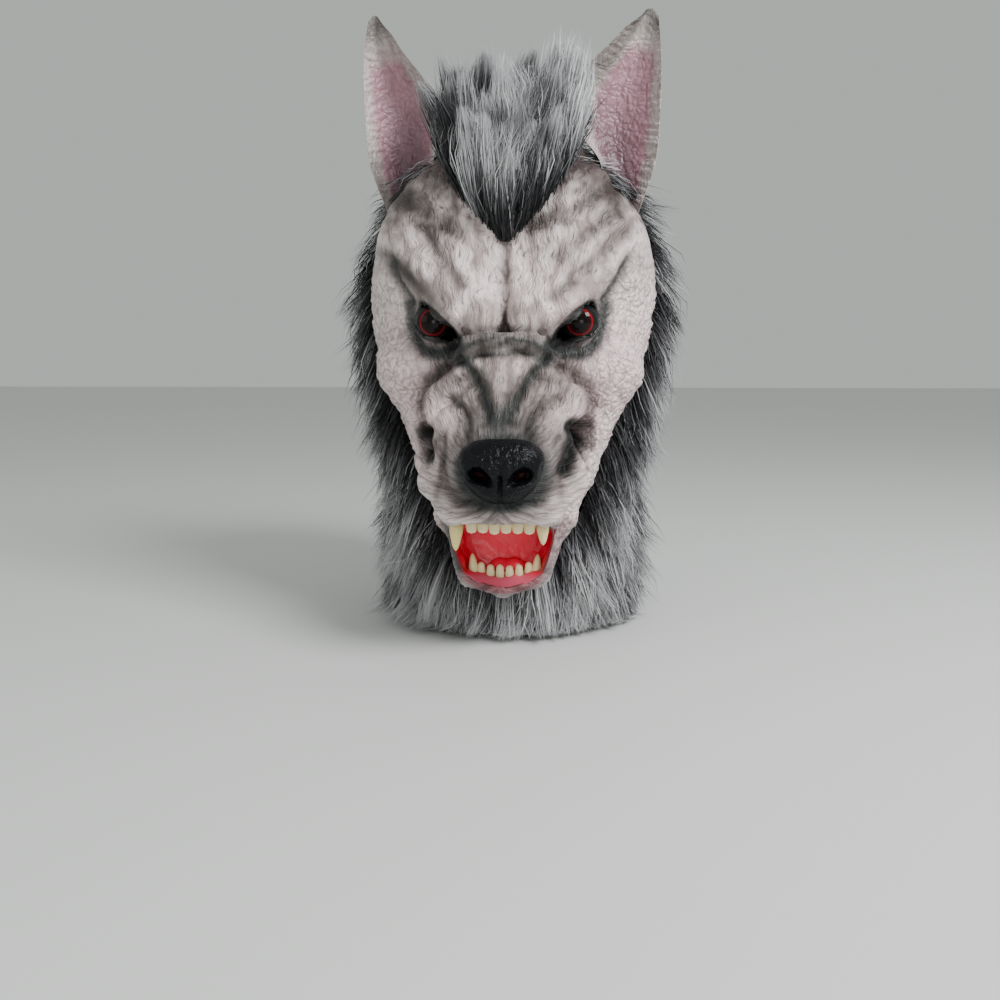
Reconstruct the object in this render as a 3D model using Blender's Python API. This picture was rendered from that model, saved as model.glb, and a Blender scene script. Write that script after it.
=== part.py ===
"""Werewolf mask for a costume: a hollow latex face, two ears and a fur hood.

Metres, +Z up. The face looks towards -Y and stands on the flat rim of the
neck at z = 0. The face, the hood and the ears share one head form: distance
functions of a few rounded masses, reached by rays that fan out from a line
inside the head. Points at a lower distance give the inner side of a wall.
"""
import bmesh
import bpy
import numpy as np
from mathutils import Matrix, Vector

# Main sizes
FACE_HALF_WIDTH = 0.0985
NOSE_REACH = 0.1600
CROWN_HEIGHT = 0.3440
EAR_TIP_HEIGHT = 0.4200
HEAD_HALF_WIDTH = 0.0950
HEAD_HALF_DEPTH = 0.0920
HEAD_CENTRE_HEIGHT = 0.2220
HEAD_SET_BACK = 0.0140
NECK_HALF_WIDTH = 0.0780
NECK_HALF_DEPTH = 0.0720
NECK_SET_BACK = 0.0080
NECK_BLEND_WIDTH = 0.0600
SKULL_BLEND_WIDTH = 0.0300
SPINE_REACH = 0.0100
# Brings the middle of the whole mask, front to back, to y = 0
FRAME_SHIFT = 0.0021

# Walls and gaps
LATEX_WALL = 0.0025
LATEX_ABOVE_HEAD = 0.0034
HOOD_WALL = 0.0028
EAR_WALL = 0.0036
EAR_REACH = 0.0040
EAR_TURN_REACH = 0.0100
LINING_WALL = 0.0020
PIECE_GAP = 0.0006
RIM_OVERLAP = 0.10

# Mouth, teeth, nose and eyes
MOUTH_TOP = 0.0900
MOUTH_BOTTOM = 0.0440
MOUTH_TOP_HALF = 0.0370
MOUTH_BOTTOM_HALF = 0.0280
MOUTH_BACK = 0.0770
MOUTH_STEP = 0.0100
UPPER_LIP_REACH = 0.1340
LOWER_LIP_REACH = 0.1040
LIP_CURVE_DEPTH = 0.0180
UPPER_TOOTH_SET_BACK = 0.0075
LOWER_TOOTH_SET_BACK = 0.0045
UPPER_FANG_SET_BACK = 0.0145
LOWER_FANG_SET_BACK = 0.0110
MOUTH_STEP_GAP = 0.0030
TOOTH_SEAT_GAP = 0.0010
TONGUE_HALF_DEPTH = 0.0075
TONGUE_HALF_HEIGHT = 0.0050
TOOTH_WIDTH = 0.0062
INCISOR_LENGTH = 0.0075
FANG_LENGTH = 0.0175
FANG_WIDTH = 0.0085
NOSE_HALF_WIDTH = 0.0250
NOSE_HALF_HEIGHT = 0.0190
NOSE_HALF_DEPTH = 0.0150
NOSE_CENTRE_HEIGHT = 0.1210
NOSTRIL_RADIUS = 0.0058
EYE_RADIUS = 0.0125
EYE_ACROSS = 0.0490
EYE_FORWARD = 0.0690
EYE_HEIGHT = 0.2050

# Fur
LOCK_LENGTH = 0.0440
LOCK_WIDTH = 0.0340
LOCK_STAND_OFF = 0.0110
LOCK_ROOT_DEPTH = 0.0020
FORELOCK_LENGTH = 0.0560
FORELOCK_LIFT = 0.0008
FORELOCK_WALL = 0.0030

# How finely the walls are faceted
FACE_ACROSS = 30
FACE_UP = 36
HOOD_ACROSS = 8
HOOD_FRONT = 3

# Round masses of the face. Places are shares of the half width of the face,
# the reach of the nose and the height of the crown. Radii and blends are
# shares of the half width. Angles are yaw, pitch and roll in degrees.
# name, stage, across, forward, up, radius across, radius forward, radius up,
# yaw, pitch, roll, blend
ROUND_MASSES = [
    ("forehead", "skull", 0.345, 0.225, 0.750, 0.528, 0.406, 0.528, 0, 0, 0, 0.16),
    ("brow", "skull", 0.386, 0.412, 0.680, 0.406, 0.223, 0.173, 26, 0, -36, 0.10),
    ("cheek bone", "skull", 0.629, 0.288, 0.523, 0.274, 0.223, 0.223, 34, 0, 10, 0.16),
    ("muzzle root", "muzzle", 0.000, 0.500, 0.390, 0.406, 0.589, 0.426, 0, 0, 0, 0.10),
    ("muzzle tip", "muzzle", 0.000, 0.800, 0.343, 0.325, 0.274, 0.254, 0, 0, 0, 0.14),
    ("eye socket", "cut", 0.497, 0.525, 0.590, 0.234, 0.244, 0.122, 25, 0, -38, 0.03),
    ("mouth corner", "cut", 0.538, 0.575, 0.390, 0.061, 0.284, 0.173, 0, 0, -8, 0.03),
]

# Rolls and grooves of skin with two round ends, in the same shares. The two
# plugs close the mouth, and the mouth cutter then opens it.
# name, stage, start across, forward, up, end across, forward, up,
# start radius, end radius, blend
SKIN_ROLLS = [
    ("inner brow pad", "skull", 0.132, 0.562, 0.616, 0.305, 0.525, 0.645, 0.122, 0.132, 0.09),
    ("side of face", "skull", 0.629, 0.225, 0.500, 0.457, 0.338, 0.326, 0.142, 0.112, 0.16),
    ("jaw back", "skull", 0.447, 0.350, 0.331, 0.386, 0.438, 0.244, 0.112, 0.102, 0.14),
    ("jaw side", "skull", 0.386, 0.438, 0.244, 0.254, 0.588, 0.150, 0.102, 0.102, 0.10),
    ("chin", "skull", 0.254, 0.588, 0.150, 0.000, 0.650, 0.136, 0.102, 0.102, 0.08),
    ("cheek web", "skull", 0.579, 0.438, 0.436, 0.569, 0.406, 0.343, 0.056, 0.056, 0.08),
    ("web to jaw", "skull", 0.569, 0.406, 0.343, 0.437, 0.481, 0.250, 0.056, 0.056, 0.08),
    ("upper mouth plug", "skull", 0.264, 0.700, 0.267, 0.000, 0.756, 0.256, 0.122, 0.122, 0.06),
    ("lower mouth plug", "skull", 0.223, 0.550, 0.180, 0.000, 0.581, 0.174, 0.142, 0.142, 0.06),
    ("bridge", "muzzle", 0.000, 0.550, 0.535, 0.000, 0.825, 0.407, 0.152, 0.132, 0.10),
    ("snarl lobe", "muzzle", 0.203, 0.575, 0.529, 0.426, 0.525, 0.456, 0.081, 0.112, 0.08),
    ("snarl side", "muzzle", 0.426, 0.525, 0.456, 0.416, 0.612, 0.413, 0.112, 0.102, 0.06),
    ("nose wing", "muzzle", 0.162, 0.712, 0.471, 0.315, 0.688, 0.430, 0.061, 0.081, 0.05),
    ("nose side", "muzzle", 0.315, 0.688, 0.430, 0.325, 0.762, 0.355, 0.081, 0.091, 0.05),
    ("lip back", "muzzle", 0.447, 0.562, 0.401, 0.426, 0.688, 0.320, 0.091, 0.091, 0.06),
    ("lip side", "muzzle", 0.426, 0.688, 0.320, 0.274, 0.831, 0.282, 0.091, 0.091, 0.06),
    ("lip front", "muzzle", 0.274, 0.831, 0.282, 0.000, 0.881, 0.282, 0.091, 0.091, 0.06),
    ("root fold", "fold", 0.000, 0.631, 0.576, 0.223, 0.594, 0.567, 0.051, 0.051, 0.03),
    ("root fold end", "fold", 0.223, 0.594, 0.567, 0.345, 0.525, 0.535, 0.051, 0.041, 0.03),
    ("brow groove", "cut", 0.000, 0.588, 0.785, 0.000, 0.644, 0.605, 0.030, 0.041, 0.08),
    ("bridge groove", "cut", 0.152, 0.675, 0.535, 0.102, 0.875, 0.442, 0.030, 0.030, 0.06),
]

# Rays of the face, a row per level from the chin to the crown.
# share of rows, start height as a share of the crown, rise, reach round the side
FACE_LEVELS = [
    (0.00, 0.212, -27, 20),
    (0.06, 0.226, -24, 25),
    (0.14, 0.244, -18, 32),
    (0.22, 0.267, -11, 40),
    (0.30, 0.291, -5, 48),
    (0.40, 0.337, 0, 57),
    (0.50, 0.395, 2, 66),
    (0.60, 0.471, 3, 76),
    (0.70, 0.558, 6, 85),
    (0.80, 0.645, 14, 92),
    (0.90, 0.709, 32, 100),
    (1.00, 0.744, 60, 110),
]

# Widest level of the hood as a share of the crown, and how many rows of faces
# lie below the chin, beside the face and above it.
HOOD_WIDEST = 0.645
HOOD_ROWS = (1, 8, 3)

# Gores that the hood is sewn from, by their seams' angles from the front. The
# left one is the right one mirrored.
# name, side, first seam, last seam
HOOD_GORES = [
    ("hood_left", -1, 0, 130),
    ("hood_back", 1, 130, 230),
    ("hood_right", 1, 0, 130),
]

# Bands that each gore is cut into, as shares of the crown.
# name, low, high
HOOD_BANDS = [
    ("neck", -0.030, 0.363),
    ("head", 0.363, 0.640),
    ("crown", 0.640, 1.060),
]

# Locks of fur on the hood, a row per level. Each band's lowest row stops short
# of the row below it, which belongs to another band.
# name, band, height as a share of the crown, rise, first angle, locks at the
# side, locks at the back, length share, stand-off share
LOCK_ROWS = [
    ("hem", "neck", 0.170, 0, 46, 4, 4, 1.15, 0.60),
    ("neck", "neck", 0.300, 0, 66, 3, 3, 1.15, 1.00),
    ("cheek", "head", 0.430, 0, 82, 3, 4, 0.80, 1.10),
    ("temple", "head", 0.560, 0, 92, 2, 3, 1.20, 1.20),
    ("ear line", "crown", 0.640, 10, 100, 2, 4, 0.84, 1.20),
    ("back of head", "crown", 0.645, 34, 110, 1, 3, 1.15, 1.10),
    ("crown", "crown", 0.645, 60, 112, 0, 2, 1.05, 0.90),
]

# Half width of the forelock's base as a share of the face, by level.
# level of the face rays, half width
FORELOCK_BASE = [
    (0.846, 0.040),
    (0.870, 0.190),
    (0.892, 0.320),
    (0.920, 0.430),
    (0.945, 0.530),
    (1.000, 0.700),
]

# Locks of the forelock: place across and along the crown as shares, lean to
# the side and length share.
# name, across, level of the face rays, lean, length share
FORELOCK_LOCKS = [
    ("peak", 0.000, 0.878, 0.00, 0.85),
    ("peak left", -0.150, 0.905, -0.20, 0.95),
    ("peak right", 0.150, 0.905, 0.16, 0.95),
    ("middle left", -0.330, 0.940, -0.32, 0.95),
    ("middle", 0.000, 0.935, 0.00, 1.00),
    ("middle right", 0.320, 0.945, 0.26, 1.00),
    ("top left", -0.400, 0.965, -0.30, 0.90),
    ("top", -0.180, 0.980, -0.08, 0.95),
    ("tall", 0.260, 0.970, 0.16, 1.45),
]

# Outlines of the ears seen from the front: share of the way up, then outer and
# inner edge as shares of the face half width and height as a share of the tip,
# and depth of the cup as a share of the face half width. The right ear is
# turned further to the front, so it is seen wider.
# share, outer across, outer height, inner across, inner height, cup depth
LEFT_EAR_SECTIONS = [
    (0.00, 0.900, 0.690, 0.690, 0.760, 0.205),
    (0.25, 1.010, 0.760, 0.600, 0.825, 0.210),
    (0.50, 1.040, 0.840, 0.585, 0.880, 0.185),
    (0.75, 1.045, 0.915, 0.775, 0.940, 0.120),
    (1.00, 1.000, 0.992, 0.955, 0.996, 0.020),
]
RIGHT_EAR_SECTIONS = [
    (0.00, 0.900, 0.690, 0.570, 0.770, 0.175),
    (0.25, 1.000, 0.765, 0.400, 0.825, 0.190),
    (0.50, 1.020, 0.840, 0.420, 0.885, 0.170),
    (0.75, 1.020, 0.915, 0.680, 0.945, 0.115),
    (1.00, 0.985, 0.994, 0.930, 1.000, 0.020),
]


def smooth_min(first, second, blend):
    """Lower of two distances with a round join of the given width."""
    overlap = np.maximum(blend - np.abs(first - second), 0.0) / blend
    return np.minimum(first, second) - overlap * overlap * blend * 0.25


def smooth_max(first, second, blend):
    """Higher of two distances with a round join of the given width."""
    return -smooth_min(-first, -second, blend)


def turned(yaw, pitch, roll):
    """Turn about z, then x, then y, from angles in degrees."""
    about_z = Matrix.Rotation(np.radians(yaw), 3, "Z")
    about_x = Matrix.Rotation(np.radians(pitch), 3, "X")
    about_y = Matrix.Rotation(np.radians(roll), 3, "Y")
    return np.array(about_z @ about_x @ about_y)


def round_distance(points, centre, radii, angles):
    """Near distance to a turned ellipsoid."""
    local = (points - centre) @ turned(*angles)
    scaled = np.linalg.norm(local / radii, axis=-1)
    slope = np.linalg.norm(local / (radii * radii), axis=-1)
    return scaled * (scaled - 1.0) / np.maximum(slope, 1e-6)


def roll_distance(points, start, end, start_radius, end_radius):
    """Distance to a roll with round ends."""
    along = end - start
    share = np.clip((points - start) @ along / (along @ along), 0.0, 1.0)
    nearest = start + share[..., None] * along
    radius = start_radius + (end_radius - start_radius) * share
    return np.linalg.norm(points - nearest, axis=-1) - radius


def place(across, forward, up):
    """Point from shares of the face half width, nose reach and crown."""
    return np.array([across * FACE_HALF_WIDTH, -forward * NOSE_REACH, up * CROWN_HEIGHT])


def head_distance(points):
    """Distance to the plain head and neck that the hood covers."""
    centre = np.array([0.0, HEAD_SET_BACK, HEAD_CENTRE_HEIGHT])
    half_height = CROWN_HEIGHT - HEAD_CENTRE_HEIGHT
    radii = np.array([HEAD_HALF_WIDTH, HEAD_HALF_DEPTH, half_height])
    skull = round_distance(points, centre, radii, (0, 0, 0))
    across = points[..., 0] / NECK_HALF_WIDTH
    along = (points[..., 1] - NECK_SET_BACK) / NECK_HALF_DEPTH
    neck = (np.sqrt(across * across + along * along) - 1.0) * NECK_HALF_DEPTH
    neck = smooth_max(neck, points[..., 2] - 0.8 * HEAD_CENTRE_HEIGHT, NECK_BLEND_WIDTH)
    return smooth_min(skull, neck, SKULL_BLEND_WIDTH)


def stage_distances(points, stage):
    """Distance and blend of each mass and roll of one stage."""
    for row in ROUND_MASSES:
        if row[1] != stage:
            continue
        centre = place(row[2], row[3], row[4])
        radii = np.array(row[5:8]) * FACE_HALF_WIDTH
        yield round_distance(points, centre, radii, row[8:11]), row[11] * FACE_HALF_WIDTH
    for row in SKIN_ROLLS:
        if row[1] != stage:
            continue
        start = place(row[2], row[3], row[4])
        end = place(row[5], row[6], row[7])
        first_radius = row[8] * FACE_HALF_WIDTH
        last_radius = row[9] * FACE_HALF_WIDTH
        distance = roll_distance(points, start, end, first_radius, last_radius)
        yield distance, row[10] * FACE_HALF_WIDTH


def face_distance(points):
    """Distance to the outer skin of the face."""
    points = points * np.ones(3)
    points[..., 0] = np.abs(points[..., 0])
    total = head_distance(points) - LATEX_ABOVE_HEAD
    for distance, blend in stage_distances(points, "skull"):
        total = smooth_min(total, distance, blend)
    muzzle = np.full(points.shape[:-1], 1.0)
    for distance, blend in stage_distances(points, "muzzle"):
        muzzle = smooth_min(muzzle, distance, blend)
    total = smooth_min(total, muzzle, 0.07 * FACE_HALF_WIDTH)
    for distance, blend in stage_distances(points, "fold"):
        total = smooth_min(total, distance, blend)
    for distance, blend in stage_distances(points, "cut"):
        total = smooth_max(total, -distance, blend)
    return total


def outer_distance(points):
    """Distance to face and hood together, for what is laid on top of both."""
    return np.minimum(face_distance(points), head_distance(points) - LATEX_ABOVE_HEAD)


def along_rows(share, table, column):
    """Smooth curve through one column of a table whose first column is the share."""
    shares = np.array([row[0] for row in table], dtype=float)
    values = np.array([row[column] for row in table], dtype=float)
    slopes = np.gradient(values, shares)
    index = np.clip(np.searchsorted(shares, share) - 1, 0, len(shares) - 2)
    step = shares[index + 1] - shares[index]
    part = (share - shares[index]) / step
    square = part * part
    cube = square * part
    low = (2 * cube - 3 * square + 1) * values[index] + (cube - 2 * square + part) * step * slopes[index]
    high = (3 * square - 2 * cube) * values[index + 1] + (cube - square) * step * slopes[index + 1]
    return low + high


def face_rays(side, level):
    """Start and direction of the face rays. Side runs from -1 to 1, level from 0 to 1."""
    height = along_rows(level, FACE_LEVELS, 1) * CROWN_HEIGHT
    rise = np.radians(along_rows(level, FACE_LEVELS, 2))
    reach = np.radians(along_rows(level, FACE_LEVELS, 3))
    angle = reach * (0.62 * side + 0.38 * side ** 3)
    starts = np.stack([0 * angle, 0 * angle - SPINE_REACH, height + 0 * angle], -1)
    across = np.sin(angle) * np.cos(rise)
    forward = -np.cos(angle) * np.cos(rise)
    return starts, np.stack([across, forward, np.sin(rise) + 0 * angle], -1)


def ray_reach(distance, starts, directions, level):
    """Distance along each ray, coming in from outside, to a level of a form."""
    reach = np.full(starts.shape[:-1], 1.4 * NOSE_REACH)
    for _ in range(70):
        gap = distance(starts + directions * reach[..., None]) - level
        reach = np.maximum(reach - np.where(gap > 1e-5, gap * 0.8, 0.0), 0.004)
    return reach


def lowest_near(reach):
    """Lowest reach of each ray and its eight neighbours, for a wall that never crosses itself."""
    padded = np.pad(reach, 1, mode="edge")
    rows, columns = reach.shape
    shifts = [(row, column) for row in range(3) for column in range(3)]
    near = [padded[row:row + rows, column:column + columns] for row, column in shifts]
    return np.min(near, axis=0)


def soften(reach):
    """Even out the reach where it jumps by more than a few millimetres from ray to ray."""
    padded = np.pad(reach, 1, mode="edge")
    mean = 0.25 * (padded[:-2, 1:-1] + padded[2:, 1:-1] + padded[1:-1, :-2] + padded[1:-1, 2:])
    weight = np.clip((np.abs(mean - reach) - 0.2 * LATEX_WALL) / (1.6 * LATEX_WALL), 0.0, 0.7)
    return reach + (mean - reach) * weight


def mesh_object(name, points, faces, material=None):
    """Closed mesh object with its faces turned outwards."""
    mesh = bpy.data.meshes.new(name)
    points = np.asarray(points).reshape(-1, 3) + np.array([0, FRAME_SHIFT, 0])
    mesh.from_pydata(points.tolist(), [], faces)
    work = bmesh.new()
    work.from_mesh(mesh)
    bmesh.ops.remove_doubles(work, verts=work.verts, dist=2e-6)
    bmesh.ops.recalc_face_normals(work, faces=work.faces)
    work.to_mesh(mesh)
    work.free()
    thing = bpy.data.objects.new(name, mesh)
    bpy.context.scene.collection.objects.link(thing)
    if material is not None:
        mesh.materials.append(material)
    return thing


def grid_faces(rows, columns, start=0, wrap=False):
    """Four-sided faces of a grid of points, closed round its columns if asked."""
    faces = []
    last = columns if wrap else columns - 1
    for row in range(rows - 1):
        for column in range(last):
            following = (column + 1) % columns
            low = start + row * columns
            faces.append((low + column, low + following, low + columns + following,
                          low + columns + column))
    return faces


def wall_between(name, outer, inner, material):
    """Closed wall from two grids of the same size, joined round the edge."""
    rows, columns = outer.shape[:2]
    count = rows * columns
    faces = grid_faces(rows, columns)
    faces += [face[::-1] for face in grid_faces(rows, columns, count)]
    edge = [column for column in range(columns)]
    edge += [row * columns + columns - 1 for row in range(1, rows)]
    edge += [(rows - 1) * columns + column for column in range(columns - 2, -1, -1)]
    edge += [row * columns for row in range(rows - 2, 0, -1)]
    for index, vertex in enumerate(edge):
        following = edge[(index + 1) % len(edge)]
        faces.append((vertex, following, following + count, vertex + count))
    points = np.concatenate([outer.reshape(-1, 3), inner.reshape(-1, 3)])
    return mesh_object(name, points, faces, material)


def solid_from_loops(name, loops, material=None):
    """Closed solid through a stack of loops, with flat ends."""
    loops = np.asarray(loops)
    rows, columns = loops.shape[:2]
    faces = grid_faces(rows, columns, 0, True)
    faces.append(tuple(range(columns))[::-1])
    faces.append(tuple(range((rows - 1) * columns, rows * columns)))
    return mesh_object(name, loops, faces, material)


def ball(name, centre, radii, angles, around, up, material=None):
    """Closed ellipsoid with its poles along its own y axis."""
    turn = np.radians(np.arange(around) * 360.0 / around)
    loops = []
    for step in range(1, up):
        tilt = np.pi * step / up
        ring = np.stack([np.cos(turn) * np.sin(tilt), 0 * turn - np.cos(tilt),
                         np.sin(turn) * np.sin(tilt)], -1)
        loops.append(ring)
    points = list(np.concatenate(loops)) + [np.array([0, -1.0, 0]), np.array([0, 1.0, 0])]
    faces = grid_faces(up - 1, around, 0, True)
    count = (up - 1) * around
    for column in range(around):
        following = (column + 1) % around
        faces.append((count, following, column))
        last = (up - 2) * around
        faces.append((count + 1, last + column, last + following))
    points = (np.array(points) * radii) @ turned(*angles).T + centre
    return mesh_object(name, points, faces, material)


def hide(thing):
    """Keep a cutter or helper out of the finished mask."""
    thing.hide_render = True
    thing.display_type = "WIRE"


def boolean(thing, helper, operation):
    """Cut or join a helper with an exact Boolean modifier."""
    hide(helper)
    step = thing.modifiers.new(operation.lower() + " " + helper.name, "BOOLEAN")
    step.operation = operation
    step.solver = "EXACT"
    step.object = helper


def boolean_group(thing, helpers, name, operation):
    """Cut or join many helpers in one exact Boolean modifier."""
    group = bpy.data.collections.new(name)
    bpy.context.scene.collection.children.link(group)
    for helper in helpers:
        hide(helper)
        bpy.context.scene.collection.objects.unlink(helper)
        group.objects.link(helper)
    step = thing.modifiers.new(name, "BOOLEAN")
    step.operation = operation
    step.solver = "EXACT"
    step.operand_type = "COLLECTION"
    step.collection = group


def plain_material(name, colour, roughness):
    """Principled material of one colour."""
    material = bpy.data.materials.new(name)
    material.use_nodes = True
    shader = material.node_tree.nodes["Principled BSDF"]
    shader.inputs["Base Color"].default_value = (*colour, 1.0)
    shader.inputs["Roughness"].default_value = roughness
    return material


def mouth_loop(forward, inset, side_inset=0.0, count=22):
    """Rounded outline of the mouth, wider at the top, at one depth."""
    turn = np.radians(np.arange(count) * 360.0 / count)
    middle = 0.5 * (MOUTH_TOP + MOUTH_BOTTOM)
    half_height = 0.5 * (MOUTH_TOP - MOUTH_BOTTOM) - inset
    up = np.sign(np.sin(turn)) * np.abs(np.sin(turn)) ** 0.6
    share = 0.5 + 0.5 * up
    half_width = MOUTH_BOTTOM_HALF + (MOUTH_TOP_HALF - MOUTH_BOTTOM_HALF) * share
    half_width = half_width - inset - side_inset
    across = half_width * np.sign(np.cos(turn)) * np.abs(np.cos(turn)) ** 0.6
    return np.stack([across, 0 * turn - forward, middle + half_height * up], -1)


def mouth_step_reach():
    """How far forward the mouth narrows, just behind the lower fangs."""
    return LOWER_LIP_REACH - LOWER_FANG_SET_BACK - MOUTH_STEP_GAP


def lip_forward(loop):
    """Loop pulled to the slanting plane between the lower and the upper lip."""
    share = (loop[:, 2] - MOUTH_BOTTOM) / (MOUTH_TOP - MOUTH_BOTTOM)
    middle = np.abs(loop[:, 0]) / MOUTH_TOP_HALF
    reach = LOWER_LIP_REACH + (UPPER_LIP_REACH - LOWER_LIP_REACH) * share
    loop[:, 1] = -(reach - LIP_CURVE_DEPTH * middle ** 2)
    return loop


def build_face(material):
    """Latex face with its mouth, eye, nose and nostril openings."""
    side, level = np.meshgrid(np.linspace(-1, 1, FACE_ACROSS), np.linspace(0, 1, FACE_UP))
    starts, directions = face_rays(side, level)
    outer = soften(ray_reach(face_distance, starts, directions, 0.0))
    inner = soften(ray_reach(face_distance, starts, directions, -LATEX_WALL))
    steep = (outer - lowest_near(outer) > 2.4 * LATEX_WALL) & (np.abs(side) < 0.8) & (level < 0.8)
    inner = np.where(steep, np.minimum(inner, lowest_near(outer) - 0.4 * LATEX_WALL), inner)
    inner = np.minimum(inner, outer - LATEX_WALL)
    face = wall_between("face", starts + directions * outer[..., None],
                        starts + directions * inner[..., None], material)
    step_front = mouth_step_reach()
    step_back = step_front - 0.4 * MOUTH_STEP
    mouth = [mouth_loop(0.72 * MOUTH_BACK, 0.0, MOUTH_STEP), mouth_loop(step_back, 0.0, MOUTH_STEP),
             mouth_loop(step_front, 0.0), mouth_loop(1.12 * NOSE_REACH, 0.0)]
    cutters = [solid_from_loops("mouth cutter", mouth)]
    cutters.append(ball("nose cutter", nose_centre(), nose_radii() + PIECE_GAP, (0, 0, 0), 20, 10))
    for sign in (-1, 1):
        centre = np.array([sign * 0.94 * EYE_ACROSS, -EYE_FORWARD, EYE_HEIGHT - 0.08 * EYE_RADIUS])
        radii = np.array([1.22, 2.4, 1.04]) * EYE_RADIUS + PIECE_GAP
        cutters.append(ball("eye cutter", centre, radii, (0, 0, sign * -30), 14, 9))
    boolean_group(face, cutters, "face cutters", "DIFFERENCE")
    return face


def nose_centre():
    """Centre of the nose pad."""
    return np.array([0.0, -(NOSE_REACH - NOSE_HALF_DEPTH), NOSE_CENTRE_HEIGHT])


def nose_radii():
    """Half sizes of the nose pad."""
    return np.array([NOSE_HALF_WIDTH, NOSE_HALF_DEPTH, NOSE_HALF_HEIGHT])


def build_nose(material):
    """Nose pad with two open nostrils."""
    nose = ball("nose", nose_centre(), nose_radii(), (0, 0, 0), 16, 8, material)
    for sign in (-1, 1):
        centre = nose_centre() + np.array([sign * 0.46 * NOSE_HALF_WIDTH, -0.85 * NOSE_HALF_DEPTH,
                                           -0.12 * NOSE_HALF_HEIGHT])
        radii = np.array([1.15, 1.9, 0.95]) * NOSTRIL_RADIUS
        nostril = ball("nostril cutter", centre, radii, (0, 0, sign * 20), 10, 6)
        boolean(nose, nostril, "DIFFERENCE")
    return nose


def build_eye(name, sign, material):
    """Round eye behind its socket."""
    centre = np.array([sign * EYE_ACROSS, -(EYE_FORWARD - 0.16 * EYE_RADIUS), EYE_HEIGHT])
    radii = np.array([0.96, 0.92, 0.95]) * EYE_RADIUS
    return ball(name, centre, radii, (0, 0, sign * -30), 12, 7, material)


def build_lining(material):
    """Open pocket behind the lips: palate, cheeks and floor of the mouth."""
    def pocket(inset, back):
        front = lip_forward(mouth_loop(0.0, inset))
        middle = mouth_loop(mouth_step_reach() + 0.15 * MOUTH_STEP, inset)
        deep = mouth_loop(mouth_step_reach() - 0.18 * MOUTH_STEP, inset, MOUTH_STEP)
        end = mouth_loop(back, inset, 1.1 * MOUTH_STEP)
        return np.stack([front, middle, deep, end])
    outer = pocket(PIECE_GAP, MOUTH_BACK)
    inner = pocket(PIECE_GAP + LINING_WALL, MOUTH_BACK + LINING_WALL)
    rows, columns = outer.shape[:2]
    count = rows * columns
    faces = grid_faces(rows, columns, 0, True)
    faces += [face[::-1] for face in grid_faces(rows, columns, count, True)]
    faces.append(tuple(range((rows - 1) * columns, count)))
    faces.append(tuple(range(count + (rows - 1) * columns, 2 * count))[::-1])
    for column in range(columns):
        following = (column + 1) % columns
        faces.append((column, column + count, following + count, following))
    points = np.concatenate([outer.reshape(-1, 3), inner.reshape(-1, 3)])
    return mesh_object("mouth_lining", points, faces, material)


def build_tongue(material):
    """Short tongue lying in the floor of the mouth."""
    floor = MOUTH_BOTTOM + LINING_WALL + 2 * PIECE_GAP
    radii = np.array([0.42 * MOUTH_BOTTOM_HALF, TONGUE_HALF_DEPTH, TONGUE_HALF_HEIGHT])
    forward = MOUTH_BACK + LINING_WALL + 1.13 * TONGUE_HALF_DEPTH
    centre = np.array([0.0, -forward, floor + 0.98 * TONGUE_HALF_HEIGHT])
    return ball("tongue", centre, radii, (0, 8, 0), 12, 6, material)


def tooth(name, root, tip, width, depth, bend, material):
    """Tapered tooth from a root point to a tip, bent forward or back in between."""
    turn = np.radians(np.arange(6) * 60.0)
    loops = []
    for share, thick in ((0.0, 0.9), (0.40, 1.0), (0.80, 0.62), (1.0, 0.14)):
        centre = root + (tip - root) * share + np.array([0, 1, 0]) * bend * 4 * share * (1 - share)
        ring = np.stack([0.5 * width * thick * np.cos(turn), 0.5 * depth * thick * np.sin(turn),
                         0 * turn], -1)
        loops.append(centre + ring)
    return solid_from_loops(name, loops, material)


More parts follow.
